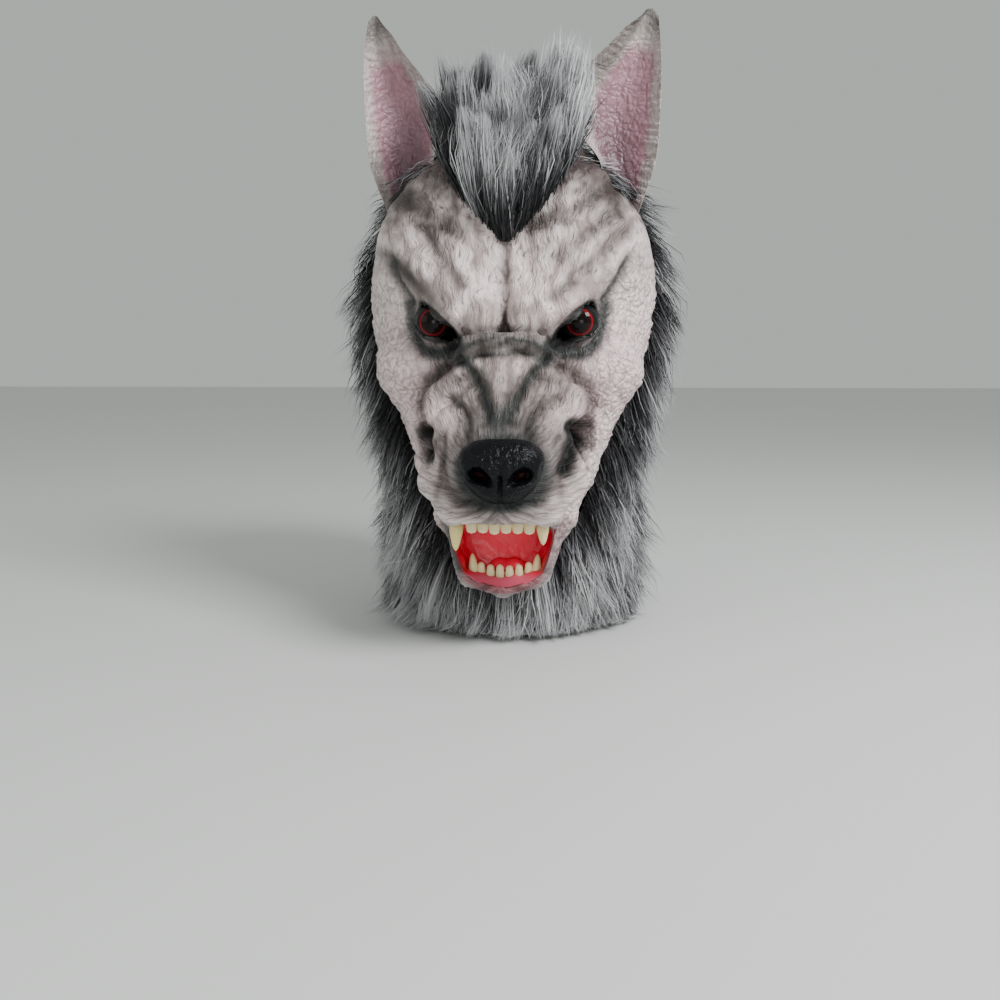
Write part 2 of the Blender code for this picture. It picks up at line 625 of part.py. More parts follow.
def build_teeth(material):
    """Row of small teeth and two fangs in each jaw."""
    things = []
    upper_root = MOUTH_TOP - PIECE_GAP - LINING_WALL - TOOTH_SEAT_GAP
    lower_root = MOUTH_BOTTOM + PIECE_GAP + LINING_WALL + 0.8 * TOOTH_SEAT_GAP
    spread = 1.06 * TOOTH_WIDTH
    for index in range(6):
        offset = (index - 2.5) * spread
        curve = offset * offset * 0.222 / MOUTH_TOP_HALF
        forward = UPPER_LIP_REACH - UPPER_TOOTH_SET_BACK - curve
        root = np.array([offset, -forward, upper_root])
        tip = root + np.array([0, 0, -INCISOR_LENGTH])
        things.append(tooth("upper_incisor_%d" % (index + 1), root, tip, TOOTH_WIDTH,
                            0.7 * TOOTH_WIDTH, 0, material))
        offset = (index - 2.5) * 0.98 * TOOTH_WIDTH
        curve = offset * offset * 0.25 / MOUTH_BOTTOM_HALF
        forward = LOWER_LIP_REACH - LOWER_TOOTH_SET_BACK - 0.9 * curve
        root = np.array([offset, -forward, lower_root + curve])
        tip = root + np.array([0, 0, 1.1 * INCISOR_LENGTH])
        things.append(tooth("lower_incisor_%d" % (index + 1), root, tip, 0.9 * TOOTH_WIDTH,
                            0.7 * TOOTH_WIDTH, 0, material))
    for sign, word in ((-1, "left"), (1, "right")):
        root = np.array([sign * 0.65 * MOUTH_TOP_HALF, -(UPPER_LIP_REACH - UPPER_FANG_SET_BACK),
                         upper_root - 0.4 * FANG_WIDTH])
        length = FANG_LENGTH * (1.0 if word == "left" else 0.8)
        tip = root + np.array([sign * 0.001, 0.001, -length])
        things.append(tooth("upper_fang_" + word, root, tip, FANG_WIDTH, 0.9 * FANG_WIDTH,
                            -0.0015, material))
        root = np.array([sign * 0.75 * MOUTH_BOTTOM_HALF, -(LOWER_LIP_REACH - LOWER_FANG_SET_BACK),
                         lower_root + 0.4 * FANG_LENGTH])
        tip = root + np.array([sign * 0.0010, 0.001, 0.62 * FANG_LENGTH])
        things.append(tooth("lower_fang_" + word, root, tip, 0.72 * FANG_WIDTH, 0.72 * FANG_WIDTH,
                            -0.001, material))
    return things


def hood_ring_rays(angle, height, rise):
    """Start and direction of hood rays, by the angle from the front."""
    starts = np.stack([0 * angle, NECK_SET_BACK + 0 * angle, height + 0 * angle], -1)
    across = np.sin(angle) * np.cos(rise)
    back = -np.cos(angle) * np.cos(rise)
    return starts, np.stack([across, back, np.sin(rise) + 0 * angle], -1)


def outward(distance, point):
    """Direction in which a form's distance grows fastest, by differences along each axis."""
    steps = 0.01 * HEAD_HALF_WIDTH * np.eye(3)
    slope = [float(distance(point + step) - distance(point - step)) for step in steps]
    return unit(np.array(slope))


def lock(name, root, out, flow, length, width, stand_off):
    """One tapered lock of fur that leaves the hood and runs along its flow."""
    side = np.cross(out, flow)
    side /= np.linalg.norm(side)
    loops = []
    above = 0.5 * width * 0.55 - LOCK_ROOT_DEPTH
    for share, thick, lift in ((0.0, 1.0, 0.0), (0.50, 0.85, 0.45), (1.0, 0.12, 1.0)):
        centre = root + flow * length * share + out * (above + stand_off * lift)
        half = 0.5 * width * thick
        ring = [centre + side * half, centre + out * half * 0.55, centre - side * half,
                centre - out * half * 0.55]
        loops.append(np.array(ring))
    thing = in_triangles(solid_from_loops(name, loops))
    hide(thing)
    return thing


def unit(vector):
    """Vector of length one."""
    return vector / np.linalg.norm(vector)


def hood_lock(name, angle, row):
    """One lock of a row, rooted in the hood at an angle from the front."""
    label, band, share, rise, first, side_count, back_count, length_share, stand_share = row
    starts, out = hood_ring_rays(np.array(angle), share * CROWN_HEIGHT, np.radians(rise))
    root = starts + out * ray_reach(head_distance, starts, out, 0.0)
    down = np.array([0, 0, -1.0])
    backward = np.array([0, 1.0, 0]) * np.sin(np.radians(rise))
    flow = unit(down - (down @ out) * out + backward + 0.10 * out)
    return lock(name, root, out, flow, LOCK_LENGTH * length_share, LOCK_WIDTH,
                LOCK_STAND_OFF * stand_share)


def gore_locks(gore, band, sign, first_seam, last_seam):
    """Locks of one band of a gore, held clear of the seams and staggered from row to row."""
    locks = []
    clear = np.degrees(0.5 * LOCK_WIDTH / NECK_HALF_WIDTH)
    for number, row in enumerate(LOCK_ROWS):
        label, row_band, share, rise, first, side_count, back_count = row[:7]
        if row_band != band:
            continue
        stagger = 1.9 * (number % 3)
        if gore == "hood_back":
            angles = np.linspace(first_seam + clear + 0.7 + stagger, last_seam - clear - stagger, back_count)
        else:
            angles = np.linspace(first, last_seam - clear - stagger, side_count) * sign
        for index, angle in enumerate(angles):
            locks.append(hood_lock("lock %s %s %d" % (gore, label, index), np.radians(angle), row))
    return locks


def level_rays(turn, level):
    """Rays at a level: up to one it is the height below the widest level, then the rise above it."""
    share = np.minimum(level, 1.0) * HOOD_WIDEST
    rise = np.radians(np.maximum(level - 1.0, 0.0) * 90.0)
    return hood_ring_rays(turn, share * CROWN_HEIGHT, rise)


def hood_rim():
    """Levels and angles of the hood's rim beside the face, which lies under it."""
    up = np.linspace(0.06, 0.955, 24)
    starts, directions = face_rays(0 * up + 1.0 - RIM_OVERLAP, up)
    points = starts + directions * ray_reach(head_distance, starts, directions, 0.0)[..., None]
    backward = points[:, 1] - NECK_SET_BACK
    widest = HOOD_WIDEST * CROWN_HEIGHT
    rise = np.degrees(np.arctan2(points[:, 2] - widest, np.hypot(points[:, 0], backward)))
    levels = np.minimum(points[:, 2] / widest, 1.0) + np.maximum(rise, 0.0) / 90.0
    levels = np.maximum.accumulate(levels) + np.arange(len(levels)) * 1e-6
    return levels, np.arctan2(points[:, 0], -backward)


def gore_grid(first_seam, last_seam):
    """Outer and inner points of one gore, and the cells that are kept beside the face opening."""
    rim_levels, rim_angles = hood_rim()
    low, beside, high = HOOD_ROWS
    levels = np.concatenate([np.linspace(0.0, rim_levels[0], low, endpoint=False),
                             np.linspace(rim_levels[0], rim_levels[-1], beside, endpoint=False),
                             np.linspace(rim_levels[-1], 1.993, high + 1)])
    opens = first_seam == 0
    front = HOOD_FRONT if opens else 0
    outer_rows = []
    inner_rows = []
    for level in levels:
        middle = np.radians([0.5 * (first_seam + last_seam)])
        starts, directions = level_rays(middle, level)
        reach = ray_reach(head_distance, starts, directions, 0.0)
        radius = max(float(np.hypot(directions[0, 0], directions[0, 1]) * reach[0]), PIECE_GAP)
        gap = np.arcsin(0.5 * PIECE_GAP / radius)
        first = np.radians(first_seam) + gap
        last = np.radians(last_seam) - gap
        if opens:
            rim = np.interp(level, rim_levels, rim_angles)
            turn = np.concatenate([np.linspace(first, rim, front, endpoint=False),
                                   np.linspace(rim, last, HOOD_ACROSS)])
        else:
            turn = np.linspace(first, last, HOOD_ACROSS)
        starts, directions = level_rays(turn, level)
        outer = ray_reach(head_distance, starts, directions, 0.0)
        inner = ray_reach(head_distance, starts, directions, -HOOD_WALL)
        outer_rows.append(starts + directions * outer[..., None])
        inner_rows.append(starts + directions * np.minimum(inner, outer - HOOD_WALL)[..., None])
    keep = np.ones((len(levels) - 1, len(turn) - 1), dtype=bool)
    keep[low:low + beside, :front] = False
    return np.array(outer_rows), np.array(inner_rows), keep


def wall_from_cells(name, outer, inner, keep, material):
    """Closed wall from the kept cells of two grids, joined along every open edge."""
    rows, columns = outer.shape[:2]
    count = rows * columns
    cells = [face for face, kept in zip(grid_faces(rows, columns), keep.ravel()) if kept]
    sides = {}
    for face in cells:
        for corner in range(4):
            edge = (face[corner], face[(corner + 1) % 4])
            sides[edge] = True
    faces = list(cells)
    faces += [tuple(count + corner for corner in face[::-1]) for face in cells]
    for first, second in sides:
        if (second, first) not in sides:
            faces.append((second, first, first + count, second + count))
    used = sorted({corner for face in faces for corner in face})
    place_of = {corner: number for number, corner in enumerate(used)}
    points = np.concatenate([outer.reshape(-1, 3), inner.reshape(-1, 3)])[used]
    faces = [tuple(place_of[corner] for corner in face) for face in faces]
    return mesh_object(name, points, faces, material)


def in_triangles(thing):
    """Split every face into triangles, so that joined locks stay closed."""
    work = bmesh.new()
    work.from_mesh(thing.data)
    bmesh.ops.triangulate(work, faces=work.faces)
    work.to_mesh(thing.data)
    work.free()
    return thing


def band_box(name, low, high):
    """Box round the whole head between two heights, half a gap short at each."""
    half = 2.0 * NOSE_REACH
    bottom = low * CROWN_HEIGHT + 0.5 * PIECE_GAP
    top = high * CROWN_HEIGHT - 0.5 * PIECE_GAP
    square = np.array([(-half, -half, 0), (half, -half, 0), (half, half, 0), (-half, half, 0)])
    box = solid_from_loops(name, [square + np.array([0, 0, bottom]), square + np.array([0, 0, top])])
    hide(box)
    return box


def build_hood(material):
    """Three gores of fur round the back of the head, each in three bands, with a flat neck rim."""
    for gore, sign, first_seam, last_seam in HOOD_GORES:
        outer, inner, keep = gore_grid(first_seam, last_seam)
        mirror = np.array([sign, 1.0, 1.0])
        for band, low, high in HOOD_BANDS:
            name = gore + "_" + band
            hood = in_triangles(wall_from_cells(name, outer * mirror, inner * mirror, keep, material))
            boolean(hood, band_box(name + " band", low, high), "INTERSECT")
            locks = gore_locks(gore, band, sign, first_seam, last_seam)
            boolean_group(hood, locks, name + " locks", "UNION")


def build_forelock(material):
    """Tuft that runs from the brow over the crown, on a thin curved backing."""
    first_level = FORELOCK_BASE[0][0]
    share, level = np.meshgrid(np.linspace(-1, 1, 11), np.linspace(first_level, 1.0, 9))
    side = share * along_rows(level, FORELOCK_BASE, 1)
    starts, directions = face_rays(side, level)
    outer = ray_reach(outer_distance, starts, directions, FORELOCK_LIFT + FORELOCK_WALL)
    inner = ray_reach(outer_distance, starts, directions, FORELOCK_LIFT)
    tuft = wall_between("forelock", starts + directions * outer[..., None],
                        starts + directions * inner[..., None], material)
    locks = []
    for name, across, height, lean, length_share in FORELOCK_LOCKS:
        starts, directions = face_rays(np.array(across), np.array(height))
        reach = ray_reach(outer_distance, starts, directions, FORELOCK_LIFT + FORELOCK_WALL)
        root = starts + directions * reach
        out = outward(outer_distance, root)
        upward = np.array([lean, 0.10, 1.0])
        flow = unit(upward - (upward @ out) * out + 0.35 * out)
        locks.append(lock("tuft " + name, root, unit(out - 0.2 * flow), flow,
                          FORELOCK_LENGTH * length_share, 0.75 * LOCK_WIDTH, 0.5 * LOCK_STAND_OFF))
    boolean_group(tuft, locks, "forelock locks", "UNION")
    return tuft


def ear_point(share, across, sign):
    """Point of the cupped front of an ear, by height and place between its edges."""
    sections = LEFT_EAR_SECTIONS if sign < 0 else RIGHT_EAR_SECTIONS
    outer_x = along_rows(share, sections, 1) * FACE_HALF_WIDTH
    outer_z = along_rows(share, sections, 2) * EAR_TIP_HEIGHT
    inner_x = along_rows(share, sections, 3) * FACE_HALF_WIDTH
    inner_z = along_rows(share, sections, 4) * EAR_TIP_HEIGHT
    cup = along_rows(share, sections, 5) * FACE_HALF_WIDTH
    x = outer_x + (inner_x - outer_x) * across
    z = outer_z + (inner_z - outer_z) * across
    y = cup * (1.0 - (2.0 * across - 1.0) ** 2) - EAR_REACH - EAR_TURN_REACH * across * (1 - share)
    return np.stack([sign * x, y, z], -1)


def build_ear(name, sign, material):
    """Pointed ear cup that stands on the head with a small gap."""
    across = np.linspace(0, 1, 8)
    start = np.full(across.shape, 0.75)
    for _ in range(60):
        points = ear_point(start, across, sign)
        back = points + np.array([0, EAR_WALL, 0])
        gap = np.minimum(outer_distance(points), outer_distance(back)) - PIECE_GAP
        start = np.clip(start - np.where(gap > 1e-5, gap / (0.38 * EAR_TIP_HEIGHT), 0.0), -0.25, 0.9)
    step = np.linspace(0, 1, 7)[:, None]
    share = start[None, :] + (1.0 - start[None, :]) * step
    front = ear_point(share, across[None, :] + 0 * share, sign)
    wall = EAR_WALL * (1.0 - 0.45 * step ** 2) + 0 * share
    back = front + wall[..., None] * np.array([0, 1, 0])
    return wall_between(name, front, back, material)


def build_mask():
    """All pieces of the mask."""
    for thing in list(bpy.data.objects):
        bpy.data.objects.remove(thing)
    latex = plain_material("grey latex", (0.52, 0.45, 0.45), 0.60)
    ear_latex = plain_material("ear latex", (0.45, 0.33, 0.35), 0.62)
    black_gloss = plain_material("black nose", (0.02, 0.02, 0.03), 0.22)
    eye_gloss = plain_material("dark eye", (0.05, 0.01, 0.01), 0.10)
    red_gloss = plain_material("red mouth", (0.50, 0.01, 0.03), 0.25)
    tooth_gloss = plain_material("cream tooth", (0.80, 0.68, 0.40), 0.35)
    fur = plain_material("grey fur", (0.16, 0.16, 0.17), 0.90)
    build_face(latex)
    build_nose(black_gloss)
    build_eye("eye_left", -1, eye_gloss)
    build_eye("eye_right", 1, eye_gloss)
    build_lining(red_gloss)
    build_tongue(red_gloss)
    build_teeth(tooth_gloss)
    build_ear("ear_left", -1, ear_latex)
    build_ear("ear_right", 1, ear_latex)
    build_hood(fur)
    build_forelock(fur)


build_mask()
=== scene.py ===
import math

import bmesh
import bpy
import numpy as np
from mathutils import Matrix, Vector


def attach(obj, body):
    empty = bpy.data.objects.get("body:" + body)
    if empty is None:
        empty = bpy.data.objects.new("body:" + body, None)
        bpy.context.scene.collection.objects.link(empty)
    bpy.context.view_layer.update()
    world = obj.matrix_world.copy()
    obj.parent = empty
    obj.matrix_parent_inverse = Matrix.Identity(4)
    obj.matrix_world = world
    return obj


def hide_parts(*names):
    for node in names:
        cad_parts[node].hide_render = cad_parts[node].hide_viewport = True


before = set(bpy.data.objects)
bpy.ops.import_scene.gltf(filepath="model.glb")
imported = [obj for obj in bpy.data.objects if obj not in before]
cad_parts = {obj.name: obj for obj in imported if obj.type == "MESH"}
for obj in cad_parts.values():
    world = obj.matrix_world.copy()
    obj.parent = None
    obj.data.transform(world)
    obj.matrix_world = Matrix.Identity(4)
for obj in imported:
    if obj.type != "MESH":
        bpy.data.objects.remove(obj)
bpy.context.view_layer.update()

# Sizes in metres, the same as in the part's source.
FACE_HALF_WIDTH = 0.0985
NOSE_REACH = 0.1600
CROWN_HEIGHT = 0.3440
EAR_TIP_HEIGHT = 0.4200
HEAD_HALF_WIDTH = 0.0950
HEAD_HALF_DEPTH = 0.0920
HEAD_CENTRE_HEIGHT = 0.2220
HEAD_SET_BACK = 0.0140
NECK_HALF_WIDTH = 0.0780
NECK_HALF_DEPTH = 0.0720
NECK_SET_BACK = 0.0080
SPINE_REACH = 0.0100
FRAME_SHIFT = 0.0021
LATEX_WALL = 0.0025
LATEX_ABOVE_HEAD = 0.0034
MOUTH_TOP = 0.0900
MOUTH_BOTTOM = 0.0440
MOUTH_TOP_HALF = 0.0370
MOUTH_BOTTOM_HALF = 0.0240
MOUTH_STEP = 0.0100
UPPER_LIP_REACH = 0.1340
LOWER_LIP_REACH = 0.1040
NOSE_HALF_WIDTH = 0.0250
NOSE_HALF_HEIGHT = 0.0190
NOSE_HALF_DEPTH = 0.0150
NOSE_CENTRE_HEIGHT = 0.1210
EYE_VISIBLE_RADIUS = 0.0118
EYE_ACROSS = 0.0490
EYE_FORWARD = 0.0690
EYE_HEIGHT = 0.2050

# Where a painter stands to draw the folds and the airbrush on the face, and
# the depth of the sheet that the drawing is measured on.
PAINTER = np.array([0.0, -0.720, 0.185])
SHEET_FORWARD = 0.090

rng = np.random.default_rng(20)

# Round masses, as in the part's source: places are shares of the half width
# of the face, the reach of the nose and the height of the crown.
# name, stage, across, forward, up, radius across, radius forward, radius up,
# yaw, pitch, roll, blend
ROUND_MASSES = [
    ("forehead", "skull", 0.345, 0.225, 0.750, 0.528, 0.406, 0.528, 0, 0, 0, 0.16),
    ("brow", "skull", 0.386, 0.412, 0.680, 0.406, 0.223, 0.173, 26, 0, -36, 0.10),
    ("cheek bone", "skull", 0.629, 0.288, 0.523, 0.274, 0.223, 0.223, 34, 0, 10, 0.16),
    ("muzzle root", "muzzle", 0.000, 0.500, 0.390, 0.406, 0.589, 0.426, 0, 0, 0, 0.10),
    ("muzzle tip", "muzzle", 0.000, 0.800, 0.343, 0.325, 0.274, 0.254, 0, 0, 0, 0.14),
    ("eye socket", "cut", 0.497, 0.525, 0.590, 0.234, 0.244, 0.122, 25, 0, -38, 0.03),
    ("mouth corner", "cut", 0.538, 0.575, 0.390, 0.061, 0.284, 0.173, 0, 0, -8, 0.03),
]

# Rolls and grooves of skin with two round ends, in the same shares.
# name, stage, start across, forward, up, end across, forward, up,
# start radius, end radius, blend
SKIN_ROLLS = [
    ("inner brow pad", "skull", 0.132, 0.562, 0.616, 0.305, 0.525, 0.645, 0.122, 0.132, 0.09),
    ("side of face", "skull", 0.629, 0.225, 0.500, 0.457, 0.338, 0.326, 0.142, 0.112, 0.16),
    ("jaw back", "skull", 0.415, 0.350, 0.331, 0.350, 0.438, 0.244, 0.112, 0.102, 0.14),
    ("jaw side", "skull", 0.350, 0.438, 0.244, 0.200, 0.588, 0.150, 0.095, 0.092, 0.10),
    ("chin", "skull", 0.200, 0.588, 0.150, 0.000, 0.650, 0.136, 0.092, 0.102, 0.08),
    ("cheek web", "skull", 0.579, 0.438, 0.436, 0.540, 0.406, 0.343, 0.056, 0.056, 0.08),
    ("web to jaw", "skull", 0.540, 0.406, 0.343, 0.395, 0.481, 0.250, 0.056, 0.056, 0.08),
    ("upper mouth plug", "skull", 0.264, 0.700, 0.267, 0.000, 0.756, 0.256, 0.122, 0.122, 0.06),
    ("lower mouth plug", "skull", 0.185, 0.550, 0.180, 0.000, 0.581, 0.174, 0.142, 0.142, 0.06),
    ("bridge", "muzzle", 0.000, 0.550, 0.535, 0.000, 0.825, 0.407, 0.152, 0.132, 0.10),
    ("snarl lobe", "muzzle", 0.203, 0.575, 0.529, 0.426, 0.525, 0.456, 0.081, 0.112, 0.08),
    ("snarl side", "muzzle", 0.426, 0.525, 0.456, 0.416, 0.612, 0.413, 0.112, 0.102, 0.06),
    ("nose wing", "muzzle", 0.162, 0.712, 0.471, 0.315, 0.688, 0.430, 0.061, 0.081, 0.05),
    ("nose side", "muzzle", 0.315, 0.688, 0.430, 0.325, 0.762, 0.355, 0.081, 0.091, 0.05),
    ("lip back", "muzzle", 0.447, 0.562, 0.401, 0.426, 0.688, 0.320, 0.091, 0.091, 0.06),
    ("lip side", "muzzle", 0.426, 0.688, 0.320, 0.274, 0.831, 0.282, 0.091, 0.091, 0.06),
    ("lip front", "muzzle", 0.274, 0.831, 0.282, 0.000, 0.881, 0.282, 0.091, 0.091, 0.06),
    ("root fold", "fold", 0.000, 0.631, 0.576, 0.223, 0.594, 0.567, 0.051, 0.051, 0.03),
    ("root fold end", "fold", 0.223, 0.594, 0.567, 0.345, 0.525, 0.535, 0.051, 0.041, 0.03),
    ("brow groove", "cut", 0.000, 0.588, 0.785, 0.000, 0.644, 0.605, 0.030, 0.041, 0.08),
    ("bridge groove", "cut", 0.152, 0.675, 0.535, 0.102, 0.875, 0.442, 0.030, 0.030, 0.06),
]

# Rays of the face, a row per level from the chin to the crown.
# share of rows, start height as a share of the crown, rise, reach round the side
FACE_LEVELS = [
    (0.00, 0.212, -27, 20),
    (0.06, 0.226, -24, 25),
    (0.14, 0.244, -18, 32),
    (0.22, 0.267, -11, 40),
    (0.30, 0.291, -5, 48),
    (0.40, 0.337, 0, 57),
    (0.50, 0.395, 2, 66),
    (0.60, 0.471, 3, 76),
    (0.70, 0.558, 6, 85),
    (0.80, 0.645, 14, 92),
    (0.90, 0.709, 32, 100),
    (1.00, 0.744, 60, 110),
]

# Outlines of the ears seen from the front, as in the part's source. The right
# ear is turned further to the front, so it is seen wider.
# share, outer across, outer height, inner across, inner height, depth of the cup
LEFT_EAR_SECTIONS = [
    (0.00, 0.900, 0.690, 0.540, 0.765, 0.205),
    (0.25, 1.010, 0.760, 0.500, 0.812, 0.210),
    (0.50, 1.040, 0.840, 0.585, 0.880, 0.185),
    (0.75, 1.045, 0.915, 0.775, 0.940, 0.120),
    (1.00, 1.012, 0.992, 0.925, 0.998, 0.020),
]
RIGHT_EAR_SECTIONS = [
    (0.00, 0.900, 0.690, 0.570, 0.770, 0.175),
    (0.25, 1.000, 0.765, 0.400, 0.825, 0.190),
    (0.50, 1.020, 0.840, 0.420, 0.885, 0.170),
    (0.75, 1.020, 0.915, 0.680, 0.945, 0.115),
    (1.00, 0.995, 0.994, 0.898, 1.000, 0.020),
]
EAR_REACH = 0.0040
EAR_TURN_REACH = 0.0100
EAR_TIP_ROUNDING = 0.0045
EAR_THICKNESS, EAR_TIP_THINNING = 0.0046, 0.0022
EAR_RUFFLE, EAR_LONG_FOLD, EAR_FURROW = 0.0013, 0.0022, 0.0010

# Folds drawn on the face, in millimetres on the painter's sheet: which side,
# across and height of each bend, how wide and deep the groove is, how wide
# and strong the airbrush over it is, and its tone. Black is painted shade in
# the mouth corner holes, pale a painted sheen on the root fold.
FACE_FOLDS = [
    ("brow centre", "both", [(0, 262), (0, 236), (0, 206)], 3.0, 3.4, 4.0, 0.75, "brown"),
    ("forehead high", "right", [(19, 287), (34, 298), (49, 308)], 4.0, 1.8, 6.8, 0.95, "brown"),
    ("forehead upper", "right", [(13, 266), (39, 273), (54, 284), (70, 290)],
     4.0, 2.4, 6.2, 0.95, "brown"),
    ("forehead middle", "right", [(32, 247), (51, 261), (70, 276)], 3.6, 2.4, 5.7, 0.95, "brown"),
    ("forehead low", "right", [(43, 235), (60, 250), (74, 263)], 3.4, 2.2, 5.4, 0.95, "brown"),
    ("brow low", "right", [(29, 222), (41, 232), (52, 241)], 3.2, 1.8, 3.4, 0.75, "brown"),
    ("forehead upper", "left", [(28, 262), (48, 273), (64, 283)], 4.0, 2.0, 6.8, 0.95, "brown"),
    ("forehead middle", "left", [(27, 231), (37, 243), (52, 265)], 3.4, 2.4, 5.4, 0.95, "brown"),
    ("forehead low", "left", [(38, 217), (54, 229), (74, 249)], 3.6, 2.4, 5.7, 0.95, "brown"),
    ("temple", "both", [(60, 222), (68, 233), (74, 246)], 2.6, 3.5, 2.8, 0.92, "green"),
    ("crown", "both", [(34, 296), (50, 308), (64, 316)], 6.0, 1.0, 8.0, 0.60, "brown"),
    ("root fold", "both", [(0, 198), (16, 196), (29, 190)], 3.0, 0.0, 6.4, 0.97, "green"),
    ("above root fold", "both", [(0, 204), (17, 202), (30, 196)], 2.2, 1.8, 2.6, 0.55, "brown"),
    ("below root fold", "both", [(0, 189), (14, 188), (27, 184)], 2.4, 1.8, 3.0, 0.85, "green"),
    ("bridge side", "both", [(28, 184), (19, 176), (12, 163), (6, 147)],
     4.6, 2.8, 6.0, 0.80, "brown"),
    ("bridge side line", "both", [(27, 184), (18, 176), (11, 163), (6, 147)],
     2.4, 0.8, 4.0, 0.92, "green"),
    ("bridge foot", "both", [(0, 152), (0, 144)], 4.0, 0.6, 7.0, 0.80, "green"),
    ("snarl outer", "both", [(31, 184), (44, 176), (51, 166), (54, 156)],
     4.0, 2.2, 5.6, 0.88, "brown"),
    ("snarl inner", "both", [(24, 172), (34, 170), (42, 163)], 3.4, 1.4, 4.6, 0.62, "brown"),
    ("wing curl", "both", [(34, 160), (25, 155), (20, 146), (21, 137)],
     3.4, 3.4, 4.6, 0.93, "brown"),
    ("lip wrinkle inner", "both", [(36, 136), (36, 116), (33, 104), (26, 95), (12, 92)],
     2.8, 2.8, 4.0, 0.85, "brown"),
    ("lip wrinkle outer", "both", [(40, 133), (39, 116), (40, 100)], 2.4, 2.4, 3.0, 0.75, "brown"),
    # Painted shade: the mouth corner hollows and slits are painted near black, standing for the
    # dark of deep holes.
    ("mouth corner hollow", "right", [(45, 144), (50, 143)], 4.4, 7.0, 6.0, 1.00, "black"),
    ("mouth corner slit", "right", [(47, 141), (46, 132), (44, 122), (42, 115)],
     4.6, 9.0, 6.2, 1.00, "black"),
    ("mouth corner hollow", "left", [(49, 140), (55, 139)], 3.8, 6.0, 5.6, 1.00, "black"),
    ("mouth corner slit", "left", [(52, 139), (51, 132), (49, 124)], 4.6, 9.0, 6.0, 1.00, "black"),
    ("lip rim", "both", [(42, 96), (30, 88), (14, 85), (0, 84)], 2.2, 0.9, 2.4, 0.40, "brown"),
    ("lip hollow", "both", [(0, 93), (14, 92), (26, 97)], 5.0, 1.6, 6.0, 0.75, "green"),
    ("lower lid", "both", [(29, 194), (41, 190), (54, 194), (60, 204)],
     2.4, 1.6, 3.4, 0.85, "green"),
    ("lid wrinkle", "both", [(34, 188), (46, 185), (57, 190), (63, 202)],
     1.8, 0.9, 2.4, 0.45, "green"),
    # Painted sheen: a pale streak on the left of the dark root fold.
    ("painted sheen on root fold", "left", [(0, 198), (10, 195), (24, 190)], 1.8, 0.0, 1.5, 0.45, "pale"),
]

# How softly the masses of the head join, and how the tracing of rays ends.
NECK_SHARE = 0.8
NECK_TOP_BLEND = 0.060
NECK_BLEND = 0.030
MUZZLE_BLEND = 0.07
NEAR_ENOUGH = 1e-5
LEAST_REACH = 0.004
STEPS_PER_BEND = 6

# Grid of the face, and where its openings are cut. Brow and nose are in
# millimetres on the sheet.
FACE_COLUMNS, FACE_ROWS, COARSE_ROWS = 216, 214, 72
MOUTH_MIDDLE = 0.5 * (MOUTH_TOP + MOUTH_BOTTOM)
MOUTH_HALF_HEIGHT = 0.5 * (MOUTH_TOP - MOUTH_BOTTOM)
MOUTH_SQUARENESS = 3.3
MOUTH_LOOP_POWER = 0.6
MOUTH_CUT_BACK = -0.050
NOSE_CUT_BACK = -0.12
FAR_OUTSIDE = 9.0
BROW_COSINE, BROW_SINE = 0.766, 0.643
EYE_HALF_LENGTH = 15.0
NOSE_OPENING = (19.5, 13.0, 121)
UNDER_EYE_LINE = [(30, 195), (38, 190), (47, 189), (54, 194), (58, 206), (60, 219)]

# Relief of the skin in metres, the brow's ridge in millimetres. The flow of
# the strokes runs round a point behind the nose, by angle times a width that
# grows with the distance from it.
RAGGED_RIM = 0.034
RIM_FLARE = 0.0042
BROW_RIDGE = 5.0
LID_SPARE, LID_ROLL, LID_BLEND = 0.0010, 0.0016, 0.0020
CURL_DEPTH, LUMP_DEPTH, FINE_DEPTH = 0.0008, 0.0008, 0.0005
FLOW_CENTRE_HEIGHT = 112
FLOW_SPREAD, FLOW_WIDTH = 0.42, 34

# Pink of the cheeks, in bell curves on the sheet.
# strength, across, half width, height, half height
CHEEK_PINKS = [(0.55, 62, 26, 172, 34), (0.35, 50, 10, 150, 14)]

# Nose, in millimetres but for the squareness.
NOSE_SQUARENESS = 2.6
NOSTRIL_ACROSS, NOSTRIL_DEPTH = 12.0, 11.0
NOSE_ROLL, NOSE_GROOVE, NOSE_BUMPS = 2.2, 2.2, 0.45

# Outlines of the mouth pocket behind the lips.
# share of the way in, forward, inset, further inset at the sides
LINING_LOOPS = [
    (0.55, 0.0950, 0.0010, 0.0),
    (0.75, 0.0915, 0.0022, 0.3 * MOUTH_STEP),
    (0.90, 0.0890, 0.0060, 0.4 * MOUTH_STEP),
    (1.00, 0.0880, 0.0190, 0.3 * MOUTH_STEP),
]
LINING_WALL = 0.0012

# Teeth: rings and sides of each, the small ones of both jaws as pitch, length,
# width, depth and bluntness, and the upper fangs.
# sign, across, length, width, yellowness
TOOTH_RINGS, TOOTH_SIDES = 15, 14
UPPER_SMALL = (0.0070, 0.0092, 0.0077, 0.0050, 9.0)
LOWER_SMALL = (0.0060, 0.0092, 0.0056, 0.0045, 8.0)
UPPER_FANGS = [(-1, -0.0268, 0.0200, 0.0088, 1.0), (1, 0.0252, 0.0158, 0.0080, 0.4)]

